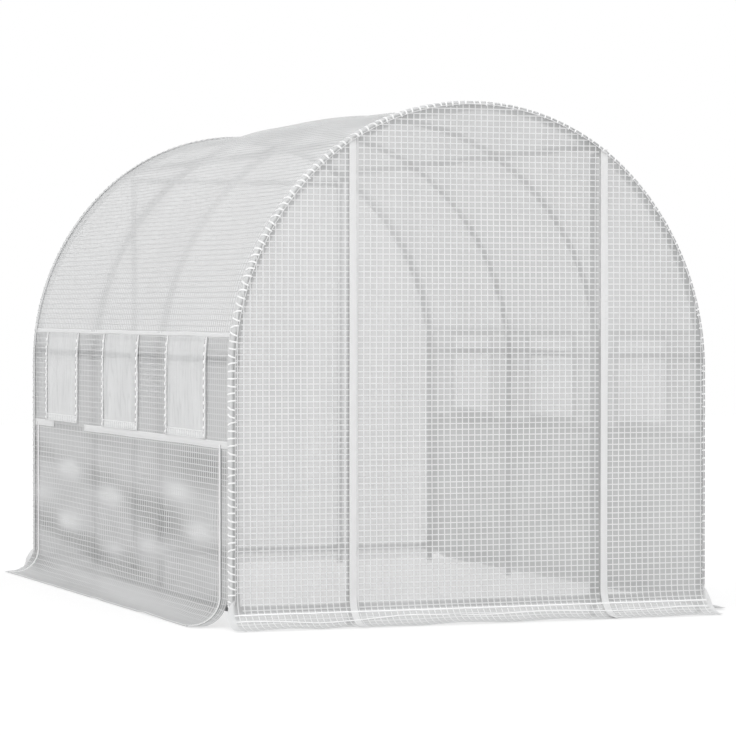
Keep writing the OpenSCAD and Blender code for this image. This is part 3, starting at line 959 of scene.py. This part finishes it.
def roofSheet(c):
    y = steps(-halfLong, halfLong, c["step"], hoopY)
    s = steps(-upperS, upperS, c["step"], [k * b for b in barS for k in (-1, 1)])
    u, v = np.meshgrid(y, s, indexing="ij")
    haze = c["haze"] + c["hazeWave"] * ripple(u, v, c["hazeSize"], 8)
    roof = sheetFrom("roof_cover", [gridPatch(u, v, sidePlace(u, v, roofLift(u, v)), haze)])
    dress(roof, roofFilm, "cover_film",
          "left_roof_haunch", "left_roof_crown", "right_roof_crown", "right_roof_haunch")
    threads = threadsFor(roof, "roof_threads", roofThread, roofThreadSettings)
    declareSheet(roof, ["front_hoop", "second_hoop", "third_hoop", "back_hoop"], [threads])


roofSheet(coverSettings)
print("roof made")

wallSettings = {
    "step": 0.03,
    "sag": 0.005,
    "crease": 0.002,
    "creaseSize": 0.11,
    "creaseStretch": 0.3,
    "haze": 0.1,
    "hazeWave": 0.12,
    "hazeSize": 0.5,
}


def wallLift(y, s, c=wallSettings):
    pull = np.sin(math.pi * np.clip((np.abs(s) - upperS) / (lowerS - upperS), 0, 1))
    crease = c["crease"] * ripple(y, s, c["creaseSize"], 12, c["creaseStretch"]) * bayShare(y)
    sag = c["sag"] * bayShare(y) * pull
    return coverSettings["lift"] - sag + np.minimum(crease, coverSettings["mostOut"])


def windowWall(word, side, c):
    y = steps(-halfLong, halfLong, c["step"], [e for pair in windowEdges for e in pair] + hoopY)
    heights = [lengthAtHeight(z) for z in windowZ]
    s = steps(upperS, lowerS, c["step"], heights) * side
    u, v = np.meshgrid(y, s, indexing="ij")
    midY = (y[1:] + y[:-1]) / 2
    midS = np.abs(s[1:] + s[:-1]) / 2
    inHeight = (midS > min(heights)) & (midS < max(heights))
    inWindow = np.zeros(len(midY), bool)
    for a, b in windowEdges:
        inWindow |= (midY > a) & (midY < b)
    keep = ~(inWindow[:, None] & inHeight[None, :])
    haze = c["haze"] + c["hazeWave"] * ripple(u, v, c["hazeSize"], 21)
    surface = sidePlace(u, v, wallLift(u, v))
    wall = sheetFrom(word + "_window_cover", [gridPatch(u, v, surface, haze, keep)])
    dress(wall, wallFilm, "cover_film", word + "_window_wall")
    threads = threadsFor(wall, wall.name + "_threads", sideThread, sideThreadSettings)
    declareSheet(wall, ["side_bars"], [threads])


for side, word in ((-1, "left"), (1, "right")):
    windowWall(word, side, wallSettings)
print("window walls made")

panelSettings = {
    "step": 0.028,
    "bendStep": 0.018,
    "marginStep": 0.02,
    "wave": 0.006,
    "waveSize": 0.34,
    "waveStretch": 1.6,
    "tapeEase": 0.2,  # how far below the tape the panel is free
    "zipEase": 0.08,  # how far from a zip
    # Each pucker bulges the panel and gets a painted highlight where it would catch the light.
    "puckers": [  # y, height, strength
        (0.84, 0.505, 1.0), (0.21, 0.42, 0.95), (-0.78, 0.49, 0.75), (0.84, 0.27, 0.95),
        (-0.42, 0.24, 0.6), (-1.08, 0.34, 0.85), (0.15, 0.19, 0.55), (1.3, 0.38, 0.5),
    ],
    "puckerSize": (0.19, 0.036),
    "puckerHeight": 0.006,
    "puckerSharp": 1.5,
    "groundLift": 0.0015,
    "groundWave": 0.0045,
    "groundSize": 0.3,
    "groundStretch": 0.2,
    "corner": 0.03,  # radius of the skirt's corners
    "cornerEase": 0.02,
    # creaseSize, creaseStretch and creaseMost set painted shade and light in soft bands across the panel,
    # which has no creases there; creaseMost limits the painted light.
    "creaseSize": 1.3,
    "creaseStretch": 8.0,
    "creaseMost": 0.3,  # how much lighter a crease gets
    "haze": 0.12,
    "puckerHighlight": 0.85,
    "paintedCreaseShade": 0.5,
    # skirtHazeAndLight makes the skirt less see-through and lighter towards its edge, the lightness in part
    # painted light on the up-facing skirt.
    "skirtHazeAndLight": 0.7,
}


def rollupLift(y, s, side, c=panelSettings):
    a = np.abs(s)
    free = np.clip((a - lowerS) / c["tapeEase"], 0, 1)
    zipFree = np.clip(np.minimum(y - sideZips[0], sideZips[1] - y) / c["zipEase"], 0, 1)
    wave = c["wave"] * ripple(y, s, c["waveSize"], 31 + side, c["waveStretch"]) * free * zipFree
    wave = np.where(wave < 0, wave * bayShare(y), wave)
    z = legTop - (a - archLength)
    pucker = 0 * wave
    for py, pz, strength in c["puckers"]:
        pucker = pucker + strength * hump(y, z, (py, pz), c["puckerSize"])
    onGround = np.clip((a - archLength - legLength) / bendLength, 0, 1)
    lift = coverSettings["lift"] + (wave + pucker * c["puckerHeight"]) * (1 - onGround)
    waves = np.abs(ripple(y, s, c["groundSize"], 40, c["groundStretch"])) ** 2
    ground = onGround * (c["groundLift"] + c["groundWave"] * waves)
    # The second value masks each pucker's painted highlight.
    return lift + ground, np.clip(pucker * c["puckerSharp"], 0, 1)


def sideFall(name, side, y, nodes, atFront=False, atBack=False, c=panelSettings):
    s = steps(lowerS, edgeS, c["step"], [groundS, flatS])
    s = np.unique(np.round(np.concatenate([s, steps(groundS, flatS, c["bendStep"])]), 6)) * side
    u, v = np.meshgrid(y, s, indexing="ij")
    lift, pucker = rollupLift(u, v, side)
    onSkirt = np.abs(v) - archLength - legLength
    reach = np.clip(onSkirt / flareLength, 0, 1)
    corner = np.clip((np.abs(v) - (edgeS - c["corner"])) / c["corner"], 0, 1)
    rounded = c["corner"] * (1 - np.sqrt(1 - corner ** 2))
    moved = u.copy()
    if atFront:  # the skirt's front end starts behind the wall's edge
        start = (sideSkirtStart + halfLong) * np.clip(onSkirt / c["cornerEase"], 0, 1)
        moved = u + (start + rounded) * np.clip((y[-1] - u) / (y[-1] - y[0]), 0, 1)
    if atBack:
        moved = moved - rounded * np.clip((u - y[0]) / (y[-1] - y[0]), 0, 1)
    # Painted shade and painted light in soft bands, as creases would make; the sheet is not creased here.
    crease = ripple(u, v, c["creaseSize"], 53, c["creaseStretch"]) * (1 - reach)
    paintedCreases = c["paintedCreaseShade"] * np.clip(crease, -c["creaseMost"], 1) * (1 - pucker)
    haze = c["haze"] + c["puckerHighlight"] * pucker - paintedCreases + c["skirtHazeAndLight"] * reach
    sheet = sheetFrom(name, [gridPatch(moved, v, sidePlace(moved, v, lift), haze)])
    dress(sheet, panelFilm, "cover_film", *nodes)
    threads = threadsFor(sheet, name + "_threads", sideThread, sideThreadSettings)
    declareSheet(sheet, ["side_base_bars"], [threads])


for side, word in ((-1, "left"), (1, "right")):
    panelNodes = (word + "_rollup_panel", word + "_skirt")
    marginNodes = (word + "_wall_margins", word + "_skirt")
    panelY = steps(*sideZips, panelSettings["step"], hoopY)
    frontY = steps(-halfLong, sideZips[0], panelSettings["marginStep"])
    backY = steps(sideZips[1], halfLong, panelSettings["marginStep"])
    sideFall(word + "_rollup_cover", side, panelY, panelNodes)
    sideFall(word + "_front_margin", side, frontY, marginNodes, atFront=True)
    sideFall(word + "_back_margin", side, backY, marginNodes, atBack=True)
print("sides made")

# The end walls. Each is cut flat, folded over its hoop, and laid out on the ground as a skirt.
endSettings = {
    "wallLift": -0.0015,
    "hemLift": 0.0035,
    "step": 0.034,
    "rows": 56,
    "columnGap": 0.004,  # the least from an edge to the next column
    "skirtStep": 0.02,
    "hemStep": 0.01,
    "wave": 0.005,
    "waveSize": 0.45,
    "waveStretch": 0.3,
    "waveIn": 0.4,  # share of the wave's height by which it lies inwards
    "hoopEase": 0.15,  # how far from the hoop the wall is free
    "skirtEase": 0.3,
    "skirtLift": 0.0015,
    "skirtWave": 0.007,
    "skirtWaveSize": 0.32,
    "skirtWaveStretch": 0.15,
    "heelZ": 0.03,
    "splay": (0.045, 0.03),  # how much wider the skirt is at its foot, left and right
    "splayFrom": 0.75,  # out from the middle
    "splaySoon": 3.5,  # how fast it comes in, down the skirt
    "hazeWave": 0.10,
    "hazeSize": 0.6,
    "hazeStretch": 0.4,
    # skirtHazeAndLight makes the skirt less see-through and a little lighter, the lightness in part painted
    # light on the up-facing skirt.
    "skirtHazeAndLight": 0.22,
    "skirtHazeEase": 0.1,
    "hemHaze": 0.8,
}


def endWave(x, z, seed, c=endSettings):
    distance = outsideBy(x, z)[0]
    free = np.clip(-distance / c["hoopEase"], 0, 1) * np.clip((z - flareTop) / c["skirtEase"], 0, 1)
    wave = c["wave"] * (ripple(x, z, c["waveSize"], seed, c["waveStretch"]) - c["waveIn"])
    low = np.clip((flareTop - z) / bendLength, 0, 1) * (distance < nearEdge - hemTurn)
    waves = np.abs(ripple(x, z, c["skirtWaveSize"], seed + 1, c["skirtWaveStretch"]))
    return wave * free + (c["skirtWave"] * waves + c["skirtLift"]) * low


def topAt(x, distance):  # height where a column meets a line that far outside the outline
    a = abs(x)
    onCrown = math.sqrt(max(0, (crownRadius + distance) ** 2 - a ** 2))
    if onCrown > a:
        return crownZ + onCrown
    return legTop + math.sqrt(max(0, (flankRadius + distance) ** 2 - (a + flankShift) ** 2))


def endPatch(u, v, end, seed, onSkirt=True, c=endSettings):
    surface = endPlace(u, v, end, c["wallLift"] + endWave(u, v, seed), c["hemLift"], onSkirt)
    folded = np.clip((outsideBy(u, v)[0] + hemTurn / 2) / hemTurn, 0, 1)
    skirt = np.clip((flareTop - v) / c["skirtHazeEase"], 0, 1)
    cloud = ripple(u, v, c["hazeSize"], seed + 7, c["hazeStretch"])
    haze = c["hazeWave"] * cloud + c["skirtHazeAndLight"] * skirt + c["hemHaze"] * folded
    return gridPatch(u, v, surface, haze)


def wallColumns(low, high, c):  # a grid whose columns end on the arch
    arcs = steps(-archLength, archLength, c["step"])
    arcX = sidePlace(np.zeros(len(arcs)), arcs, -hemTurn)[0][:, 0]
    gap = c["columnGap"]
    x = np.array([low, *[float(a) for a in arcX if low + gap < a < high - gap], high])
    rows = steps(0, 1, 1 / c["rows"])
    z = np.array([[flareTop + (max(topAt(a, -hemTurn), legTop) - flareTop) * t for t in rows] for a in x])
    return np.repeat(x[:, None], len(rows), 1), z


def skirtGrid(x, c):  # the skirt's columns go on from the wall's, and splay at the corners
    down = steps(0, flareLength, c["skirtStep"], [bendLength])[None, :]
    x = np.clip(x, -endHalfWide, endHalfWide)[:, None]
    outer = np.clip((np.abs(x) - c["splayFrom"]) / (endHalfWide - c["splayFrom"]), 0, 1) ** 2
    pulled = outer * np.clip(down / flareLength * c["splaySoon"], 0, 1) ** 0.5
    splay = np.where(x < 0, c["splay"][0], c["splay"][1]) * pulled
    return x + np.sign(x) * splay, flareTop - np.repeat(down, len(x), 0)


def hemGrid(x, z, atLeft, atRight, c):  # rings that go on out from the wall's border, over the hoop
    border = list(zip(x[:, -1], z[:, -1]))
    heel = [c["heelZ"], (c["heelZ"] + flareTop) / 2]  # the fold runs on down past the skirt's top
    if atLeft:
        border = [(x[0, 0], h) for h in [*heel, *z[0, :-1]]] + border
    if atRight:
        border = border + [(x[-1, 0], h) for h in [*z[-1, -2::-1], *heel[::-1]]]
    border = np.array(border)
    distance, nx, nz = outsideBy(border[:, 0], border[:, 1])
    turn = hemTurn * math.pi / 2
    rings = np.concatenate([np.linspace(0, turn, 5), steps(turn, hemReach + hemTurn, c["hemStep"])[1:]])
    return (border[:, 0][:, None] + nx[:, None] * rings[None, :],
            border[:, 1][:, None] + nz[:, None] * rings[None, :])


endFinishes = {-1: ("front", frontFilm, frontThread), 1: ("back", backFilm, backThread)}


def endSheet(name, end, x0, x1, wallNode, seed, c=endSettings):
    word, material, threadMaterial = endFinishes[end]
    atLeft, atRight = x0 <= -halfWide, x1 >= halfWide
    inner = halfWide - hemTurn
    x, z = wallColumns(-inner if atLeft else x0, inner if atRight else x1, c)
    sheet = sheetFrom(name, [
        endPatch(x, z, end, seed),
        endPatch(*skirtGrid(x[:, 0], c), end, seed),
        endPatch(*hemGrid(x, z, atLeft, atRight, c), end, seed, False)])
    dress(sheet, material, "cover_film", wallNode, word + "_skirt", word + "_hem_band")
    declareSheet(sheet, [word + "_hoop"], [threadsFor(sheet, name + "_threads", threadMaterial)])
    return sheet


frontSheets = [
    endSheet("front_left_cover", -1, -halfWide, doorZips[0], "front_left_panel", 60),
    endSheet("door_cover", -1, doorZips[0], doorZips[1], "door_panel", 70),
    endSheet("front_right_cover", -1, doorZips[1], halfWide, "front_right_panel", 80),
]
backSheets = [endSheet("back_cover", 1, -halfWide, halfWide, "back_wall", 90)]
print("end walls made")


# The tapes along the walls, and the strips over the door's zips.
def alongSide(y, z, side, lift):  # path along a wall at one height
    place, normal = sidePlace(np.asarray(y, float), np.full(len(y), lengthAtHeight(z) * side), lift)
    return place, np.cross(normal, (0, 1, 0)) * side, normal


def downSide(y, s, side, lift):  # path down a side, at one place along the tunnel
    place, normal = sidePlace(np.full(len(s), y), s * side, lift)
    return place, np.tile((0.0, 1.0, 0.0), (len(s), 1)), normal


stitchSettings = {
    "pitch": 0.0085,
    "length": 0.0055,
    "width": 0.0012,
    "tilt": 0.06,
    "seed": 3,
    "inset": 0.0028,  # from the tape's edge
}
tapeSettings = {
    "lift": 0.0002,
    "thick": 0.0016,
    "step": 0.05,
    "waver": 0.0012,
    "waverRates": (9, 2.1),
    "stripLift": 0.0004,
    "stripThick": 0.0018,
    "stripBendStep": 0.012,
    "stripTopGap": 0.004,
    "stripWave": 0.5,  # share of the wall's own wave
}


def stitchRows(band, section, s=stitchSettings):  # a row along each edge of a tape
    girth = girthOf(section)
    places = (girth[2] + s["inset"], girth[3] - s["inset"])
    return [rowOn(band, band.name + "Row", at, s, stitchThread) for at in places]


def wallTape(z, ends, side, c):
    y = steps(*ends, c["step"])
    section = tapeSection(z[1] - z[0], c["thick"])
    place, up, normal = alongSide(y, sum(z) / 2, side, c["lift"])
    place[:, 2] += c["waver"] * np.sin(c["waverRates"][0] * y) * np.sin(c["waverRates"][1] * y + 1)
    band = sweep("tape", place, up, normal, section)
    return band, stitchRows(band, section)


def frontStrip(x, c):
    z = steps(flareTop, topAt(x, 0.0) - c["stripTopGap"], c["step"])[::-1]
    z = np.concatenate([z, flareTop - steps(0, flareLength, c["stripBendStep"])[1:]])
    x = np.full(len(z), x)
    lift = c["stripLift"] + np.maximum(endWave(x, z, 65) * c["stripWave"], 0)
    place, normal = endPlace(x, z, -1, lift, c["stripLift"])
    normal[:, 0] = 0
    section = tapeSection(doorZipWide, c["stripThick"])
    band = sweep("strip", place, np.tile((1.0, 0, 0), (len(z), 1)), normal, section)
    return band, stitchRows(band, section)


def dressStitched(made, bandName, stitchName, slotName, node):  # bands, and their rows of stitches
    dress(joinPieces(bandName, [band for band, rows in made]), wovenTape, slotName, node)
    dress(joinPieces(stitchName, [row for band, rows in made for row in rows]), stitchThread, slotName)


for side, word, ends in ((-1, "left", leftTapeEnds), (1, "right", rightTapeEnds)):
    made = [wallTape(upperTape, (ends[0], ends[-1]), side, tapeSettings)]
    made += [wallTape(lowerTape, pair, side, tapeSettings) for pair in pairs(ends)]
    dressStitched(made, word + "_wall_bands", word + "_band_stitches", "cover_tape", word + "_wall_tapes")
made = [frontStrip(x, tapeSettings) for x in doorZips]
dressStitched(made, "door_zip_covers", "door_zip_stitches", "zip_tape", "door_zips")
print("tapes made")

# The windows: a net behind each, and a flap of film with a hem, side strips, lines and stitches.
windowSettings = {
    "netLift": -0.004,
    "netLap": 0.004,  # past the window's edge
    "netStep": 0.03,
    "lift": 0.003,
    "crinkle": 0.0024,
    "crinkleSize": 0.05,
    "crinkleStretch": 0.12,
    # paintedCrinkleShade darkens the low parts of the crinkles, folds lower than crinkleFrom: painted
    # shade.
    "paintedCrinkleShade": 0.9,
    "crinkleFrom": 0.25,  # folds lower than this darken
    "sideEase": 0.02,  # how far from a side strip the flap is free
    "hemEase": 0.03,
    "haze": 0.15,
    "hazeWave": 0.06,
    "hazeSize": 0.2,
    "inset": 0.010,  # from the edge of the flap's place to the middle of a side strip
    "strip": 0.019,
    "stripThick": 0.0022,
    "stripLift": 0.0002,  # each of these lifts is over the flap's own
    "hemHigh": 0.03,
    "hemThick": 0.0012,
    "lines": ((0.03, 0.005), (0.002, 0.003)),  # height over the flap's foot, and width
    "lineLift": 0.0006,
    "cord": 0.003,
    "cordThick": 0.0018,
    "cordLift": 0.0005,
    "step": 0.04,
    "foldStep": 0.008,
    "fallStep": 0.02,
}
windowDots = {"pitch": 0.032, "length": 0.012, "width": 0.011, "flatness": 0.5, "tilt": 0.3}
windowRibs = {"pitch": 0.03, "length": 0.024, "width": 0.0035, "flatness": 0.5, "tilt": 0.06}


def windowNet(name, side, edges, c):
    lap = c["netLap"]
    y = steps(edges[0] - lap, edges[1] + lap, c["step"])
    s = steps(lengthAtHeight(windowZ[1]) - lap, lengthAtHeight(windowZ[0]) + lap, c["netStep"]) * side
    u, v = np.meshgrid(y, s, indexing="ij")
    return sheetFrom(name, [gridPatch(u, v, sidePlace(u, v, c["netLift"]))])


def flapSheet(name, side, ends, fall, seed, c):  # a crinkled sheet between its side strips and its hem
    u, v = np.meshgrid(steps(*ends, c["foldStep"]), steps(*fall, c["fallStep"]) * side, indexing="ij")
    fromSide = np.clip(np.minimum(u - ends[0], ends[1] - u) / c["sideEase"], 0, 1)
    free = fromSide * np.clip((fall[1] - c["hemHigh"] - np.abs(v)) / c["hemEase"], 0, 1)
    folds = np.abs(ripple(u, v, c["crinkleSize"], seed, c["crinkleStretch"]))
    # Painted shade in the low parts of the crinkles.
    paintedCrinkles = c["paintedCrinkleShade"] * np.clip(c["crinkleFrom"] - folds, 0, 1) * free
    haze = c["haze"] - paintedCrinkles + c["hazeWave"] * ripple(u, v, c["hazeSize"], seed + 1)
    surface = sidePlace(u, v, c["lift"] + c["crinkle"] * folds * free)
    return sheetFrom(name, [gridPatch(u, v, surface, haze)])


def flapSides(name, side, ends, path, seed, c):  # each side's strip, bright stitches and dark cord
    section = tapeSection(c["strip"], c["stripThick"])
    cordSection = tapeSection(c["cord"], c["cordThick"])
    strips, dots, cords = [], [], []
    for k, at in enumerate(ends):
        strip = sweep(name + "Strip", *downSide(at, path, side, c["lift"] + c["stripLift"]), section)
        strips.append(strip)
        row = {**windowDots, "seed": seed + k}
        dots.append(rowOn(strip, name + "Dots", outerMiddle(section), row, stitchThread))
        inner = at + (c["strip"] * 0.5 + c["cord"]) * (1 if k == 0 else -1)
        cordPath = downSide(inner, path, side, c["lift"] + c["cordLift"])
        cords.append(sweep(name + "Cord", *cordPath, cordSection))
    return strips, dots, cords


def windowFlap(name, side, edges, seed, c):
    ends = (edges[0] + c["inset"], edges[1] - c["inset"])
    fall = (lengthAtHeight(flapZ[1]), lengthAtHeight(flapZ[0]))
    flap = flapSheet(name, side, ends, fall, seed, c)
    strips, dots, cords = flapSides(name, side, ends, steps(*fall, c["step"]), seed, c)
    y = steps(*ends, c["step"])
    for height, width in c["lines"]:
        path = alongSide(y, flapZ[0] + height, side, c["lift"] + c["lineLift"])
        strips.append(sweep(name + "Line", *path, tapeSection(width, c["stripThick"])))
    section = tapeSection(c["hemHigh"], c["hemThick"])
    path = alongSide(y, flapZ[0] + c["hemHigh"] / 2, side, c["lift"] + c["stripLift"])
    hem = sweep(name + "_hem", *path, section)
    row = {**windowRibs, "seed": seed}
    ribs = rowOn(hem, name + "Ribs", outerMiddle(section), row, stitchThread, math.pi / 2, 0.01)
    return flap, [
        dress(joinPieces(name + "_edging", strips), zipTape, "cover_tape"),
        dress(joinPieces(name + "_stitches", dots + [ribs]), stitchThread, "cover_tape"),
        dress(joinPieces(name + "_cords", cords), seamCord, "cover_tape"),
        dress(hem, hemFilm, "window_flap")]


for side, word in ((-1, "left"), (1, "right")):
    for k, (window, place) in enumerate(zip(windowEdges, flapEdges)):
        net = windowNet("%s_window_net_%d" % (word, k + 1), side, window, windowSettings)
        dress(net, netCloth, "window_flap", word + "_window_flaps")
        declareSheet(net, [word + "_window_wall"], [])
        name = "%s_window_flap_%d" % (word, k + 1)
        flap, sewnOn = windowFlap(name, side, place, 200 + 10 * k + side, windowSettings)
        dress(flap, flapFilm, "window_flap", word + "_window_flaps")
        declareSheet(flap, [word + "_window_wall"], sewnOn)
print("windows made")

# The side panels' zips, and the bright welt along each side skirt.
zipSettings = {
    "tape": 0.018,
    "tapeThick": 0.0012,
    "coil": 0.0025,
    "coilThick": 0.0016,
    "cord": 0.004,
    "cordThick": 0.002,
    "cordGap": 0.013,  # from the zip's middle, towards the nearer end of the tunnel
    "lifts": (0.0004, 0.0014, 0.0005),  # of the tape, the coil and the cord
    "endGap": 0.004,
    "step": 0.05,
    "bendStep": 0.015,
    "welt": 0.006,
    "weltThick": 0.002,
    "weltIn": 0.012,  # from the skirt's edge
    "weltGap": 0.01,  # from the zips
    "weltLift": 0.0004,
    "weltStep": 0.04,
}
zipTeethSettings = {
    "pitch": 0.0042,
    "length": 0.012,
    "width": 0.0032,
    "flatness": 0.9,
    "tilt": 0.04,
    "seed": 8,
}


def sideZip(name, side, y, outward, c):
    down = steps(lowerS, edgeS - c["endGap"], c["step"])
    path = np.unique(np.round(np.concatenate([down, steps(groundS, flatS, c["bendStep"])]), 5))
    tapeLift, coilLift, cordLift = c["lifts"]
    section = tapeSection(c["tape"], c["tapeThick"])
    band = sweep(name, *downSide(y, path, side, tapeLift), section)
    coil = sweep(name + "Coil", *downSide(y, path, side, coilLift), tapeSection(c["coil"], c["coilThick"]))
    teeth = rowOn(band, name + "Teeth", outerMiddle(section), zipTeethSettings, zipTeeth, math.pi / 2)
    cordPath = downSide(y + outward * c["cordGap"], path, side, cordLift)
    cord = sweep(name + "Cord", *cordPath, tapeSection(c["cord"], c["cordThick"]))
    return band, coil, teeth, cord


def skirtWelt(word, side, c):
    y = steps(sideZips[0] + c["weltGap"], sideZips[1] - c["weltGap"], c["weltStep"])
    s = np.full(len(y), (edgeS - c["weltIn"]) * side)
    place, normal = sidePlace(y, s, rollupLift(y, s, side)[0] + c["weltLift"])
    section = tapeSection(c["welt"], c["weltThick"])
    welt = sweep(word + "_skirt_welt", place, np.cross(normal, (0, 1.0, 0)), normal, section)
    dress(welt, wovenTape, "cover_tape")


for side, word in ((-1, "left"), (1, "right")):
    made = [sideZip(word + "_zip", side, y, outward, zipSettings) for y, outward in zip(sideZips, (-1, 1))]
    bands, coils, teeth, cords = zip(*made)
    dress(joinPieces(word + "_zip_tapes", bands), zipTape, "zip_tape", word + "_panel_zips")
    dress(joinPieces(word + "_zip_coils", [*coils, *teeth]), zipTeeth, "zip_tape")
    dress(joinPieces(word + "_zip_cords", cords), seamCord, "zip_tape")
    skirtWelt(word, side, zipSettings)
print("zips made")

# The bindings over the end hoops, the front and back skirts' bright lines, and the dark cords at the
# corners, which are in part painted shade.
hemSettings = {
    "pitch": 0.0286,
    "heel": 0.07,
    "edgeLines": (-0.010, 0.041),  # bright lines along the hem's two edges, out from the outline
    "edgeLine": 0.0032,
    "edgeThick": 0.0018,
    "edgeLifts": (0.001, 0.0003),  # off the wall, and over the hem's own
    "cordX": 0.010,  # inside the outline
    "cordHeights": (0.12, 0.83),
    "cord": 0.0028,
    "cordThick": 0.0022,
    "cordLift": 0.0005,
    "cordStep": 0.05,
    "welts": ((0.052, 0.006, 0.0), (0.026, 0.005, 0.006)),  # the skirt's lines: height, width and waver
    "weltThick": 0.0022,
    "weltLift": 0.0025,
    "weltWaveSize": 0.5,
    "weltPast": 0.004,  # past the wall's edge
    "step": 0.03,
}
hemTickSettings = {
    "length": 0.054,
    "width": 0.0066,
    "flatness": 0.55,
    "segments": 10,
    "tilt": 0.28,
    "spread": 0.12,
}


def hemTicks(name, sheets, end, c):  # the lacing over a hoop, and a bright line along each edge of the hem
    low = archLength + legTop - c["heel"]
    s = np.arange(-low, low, c["pitch"])
    outline, normal = sidePlace(np.zeros(len(s)), s, 0.0)
    middle = outline + normal * ((hemReach - hemTurn) / 2)
    turns = np.arctan2(normal[:, 2], normal[:, 0])
    cord = stitchThread if end < 0 else sideThread
    made = [marksOn(sheet, name, middle[:, [0, 2]], turns, {**hemTickSettings, "seed": 17 + k}, cord)
            for k, sheet in enumerate(sheets)]
    path = steps(-s.max(), s.max(), c["step"])
    edges = [hemLine(name + "_edges", end, path, distance, c) for distance in c["edgeLines"]]
    dress(joinPieces(name + "_edges", edges), wovenTape if end < 0 else sideThread, "cover_tape")
    dress(joinPieces(name, made), cord, "cover_tape")


def hemLine(name, end, path, distance, c):  # a thin cord all along a hem
    line = sidePlace(0 * path, path, distance)[0]
    wallLift, overHem = c["edgeLifts"]
    hemLift = endSettings["hemLift"] + overHem
    place, outward = endPlace(line[:, 0], line[:, 2], end, wallLift, hemLift, False)
    ahead = np.gradient(place, axis=0)
    ahead /= np.linalg.norm(ahead, axis=1)[:, None]
    return sweep(name, place, np.cross(ahead, outward), outward, tapeSection(c["edgeLine"], c["edgeThick"]))


def acrossEnd(end, x, height, lift):  # path across an end wall's skirt, near one height
    v = flareTop - flareRadius * np.arcsin(np.clip((flareTop - height) / flareRadius, 0, 1))
    wallLift = endSettings["wallLift"] + np.maximum(endWave(x, v, 60), 0)
    place, normal = endPlace(x, v, end, wallLift + lift, 0.0)
    return place, np.cross(normal, (1.0, 0, 0)), normal


def skirtWelts(name, end, c):
    made = []
    x = steps(-endHalfWide - c["weltPast"], endHalfWide + c["weltPast"], c["step"])
    for height, wide, waver in c["welts"]:
        path = acrossEnd(end, x, height + waver * ripple(x, 0 * x, c["weltWaveSize"], 77), c["weltLift"])
        made.append(sweep(name, *path, tapeSection(wide, c["weltThick"])))
    dress(joinPieces(name, made), stitchThread, "cover_tape")


# A dark cord at each corner of an end wall: in part painted shade, standing for the slit there, where the
# tube and its shade show through.
def seamCords(name, end, c):
    made = []
    z = steps(*c["cordHeights"], c["cordStep"])
    for side in (-1, 1):
        x = np.full(len(z), side * (halfWide - c["cordX"]))
        place, normal = endPlace(x, z, end, c["cordLift"], endSettings["hemLift"])
        section = tapeSection(c["cord"], c["cordThick"])
        made.append(sweep(name, place, np.cross(normal, (0, 0, 1.0)), normal, section))
    dress(joinPieces(name, made), seamCord, "cover_tape")


for word, end, sheets in (("front", -1, frontSheets), ("back", 1, backSheets)):
    hemTicks(word + "_hem_stitches", sheets, end, hemSettings)
    skirtWelts(word + "_skirt_welts", end, hemSettings)
    seamCords(word + "_seam_cords", end, hemSettings)
print("hems made")

# The frame's own finishes.
for node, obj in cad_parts.items():
    finish = steel if node.endswith(("_hoop", "_bars", "_bar", "_posts")) else None
    if "fittings" in node or "feet" in node:
        finish = plastic
    if finish:
        obj.data.materials.clear()
        obj.data.materials.append(finish)

stageSettings = {
    "floorSize": 40.0,
    "floorPlain": 0.8,  # lightness, to everything but the camera
    "floorShade": 0.38,  # to the camera, with the glow on top
    "floorGlow": 0.66,
    "world": 1.0,
    "keyPower": 180.0,
    "keySize": 6.0,
    "keyPlace": (-5.5, -10.0, 9.0),
    "keyTarget": (0, 0, 0.9),
}


def makeFloor(s):
    half = s["floorSize"] / 2
    corners = [(-half, -half, 0), (half, -half, 0), (half, half, 0), (-half, half, 0)]
    floor = meshObject("floor", corners, [(0, 1, 2, 3)])
    material, w = newMaterial("paleFloor")
    plain = w.node("ShaderNodeBsdfDiffuse", {}, {"Color": (*[s["floorPlain"]] * 3, 1)})
    dim = w.node("ShaderNodeBsdfDiffuse", {}, {"Color": (*[s["floorShade"]] * 3, 1)})
    glow = w.node("ShaderNodeEmission", {}, {"Color": (1, 1, 1, 1), "Strength": s["floorGlow"]})
    seen = w.node("ShaderNodeAddShader", {}, {0: dim, 1: glow})
    isCamera = w.node("ShaderNodeLightPath")
    mixed = w.node("ShaderNodeMixShader", {}, {0: isCamera, 1: plain, 2: seen})
    w.node("ShaderNodeOutputMaterial", {}, {"Surface": mixed})
    floor.data.materials.append(material)


def makeWorld(s):
    world = bpy.data.worlds.new("studio")
    bpy.context.scene.world = world
    world.use_nodes = True
    world.node_tree.nodes.clear()
    w = Wire(world.node_tree)
    back = w.node("ShaderNodeBackground", {}, {"Color": (1, 1, 1, 1), "Strength": s["world"]})
    w.node("ShaderNodeOutputWorld", {}, {"Surface": back})


def makeKey(s):
    data = bpy.data.lights.new("key", "AREA")
    data.energy = s["keyPower"]
    data.size = s["keySize"]
    key = bpy.data.objects.new("key", data)
    key.location = s["keyPlace"]
    towards = Vector(s["keyTarget"]) - Vector(s["keyPlace"])
    key.rotation_euler = towards.to_track_quat("-Z", "Y").to_euler()
    bpy.context.scene.collection.objects.link(key)


makeFloor(stageSettings)
makeWorld(stageSettings)
makeKey(stageSettings)
bpy.context.scene.view_settings.view_transform = "Standard"
bpy.context.scene.cycles.transparent_max_bounces = 40
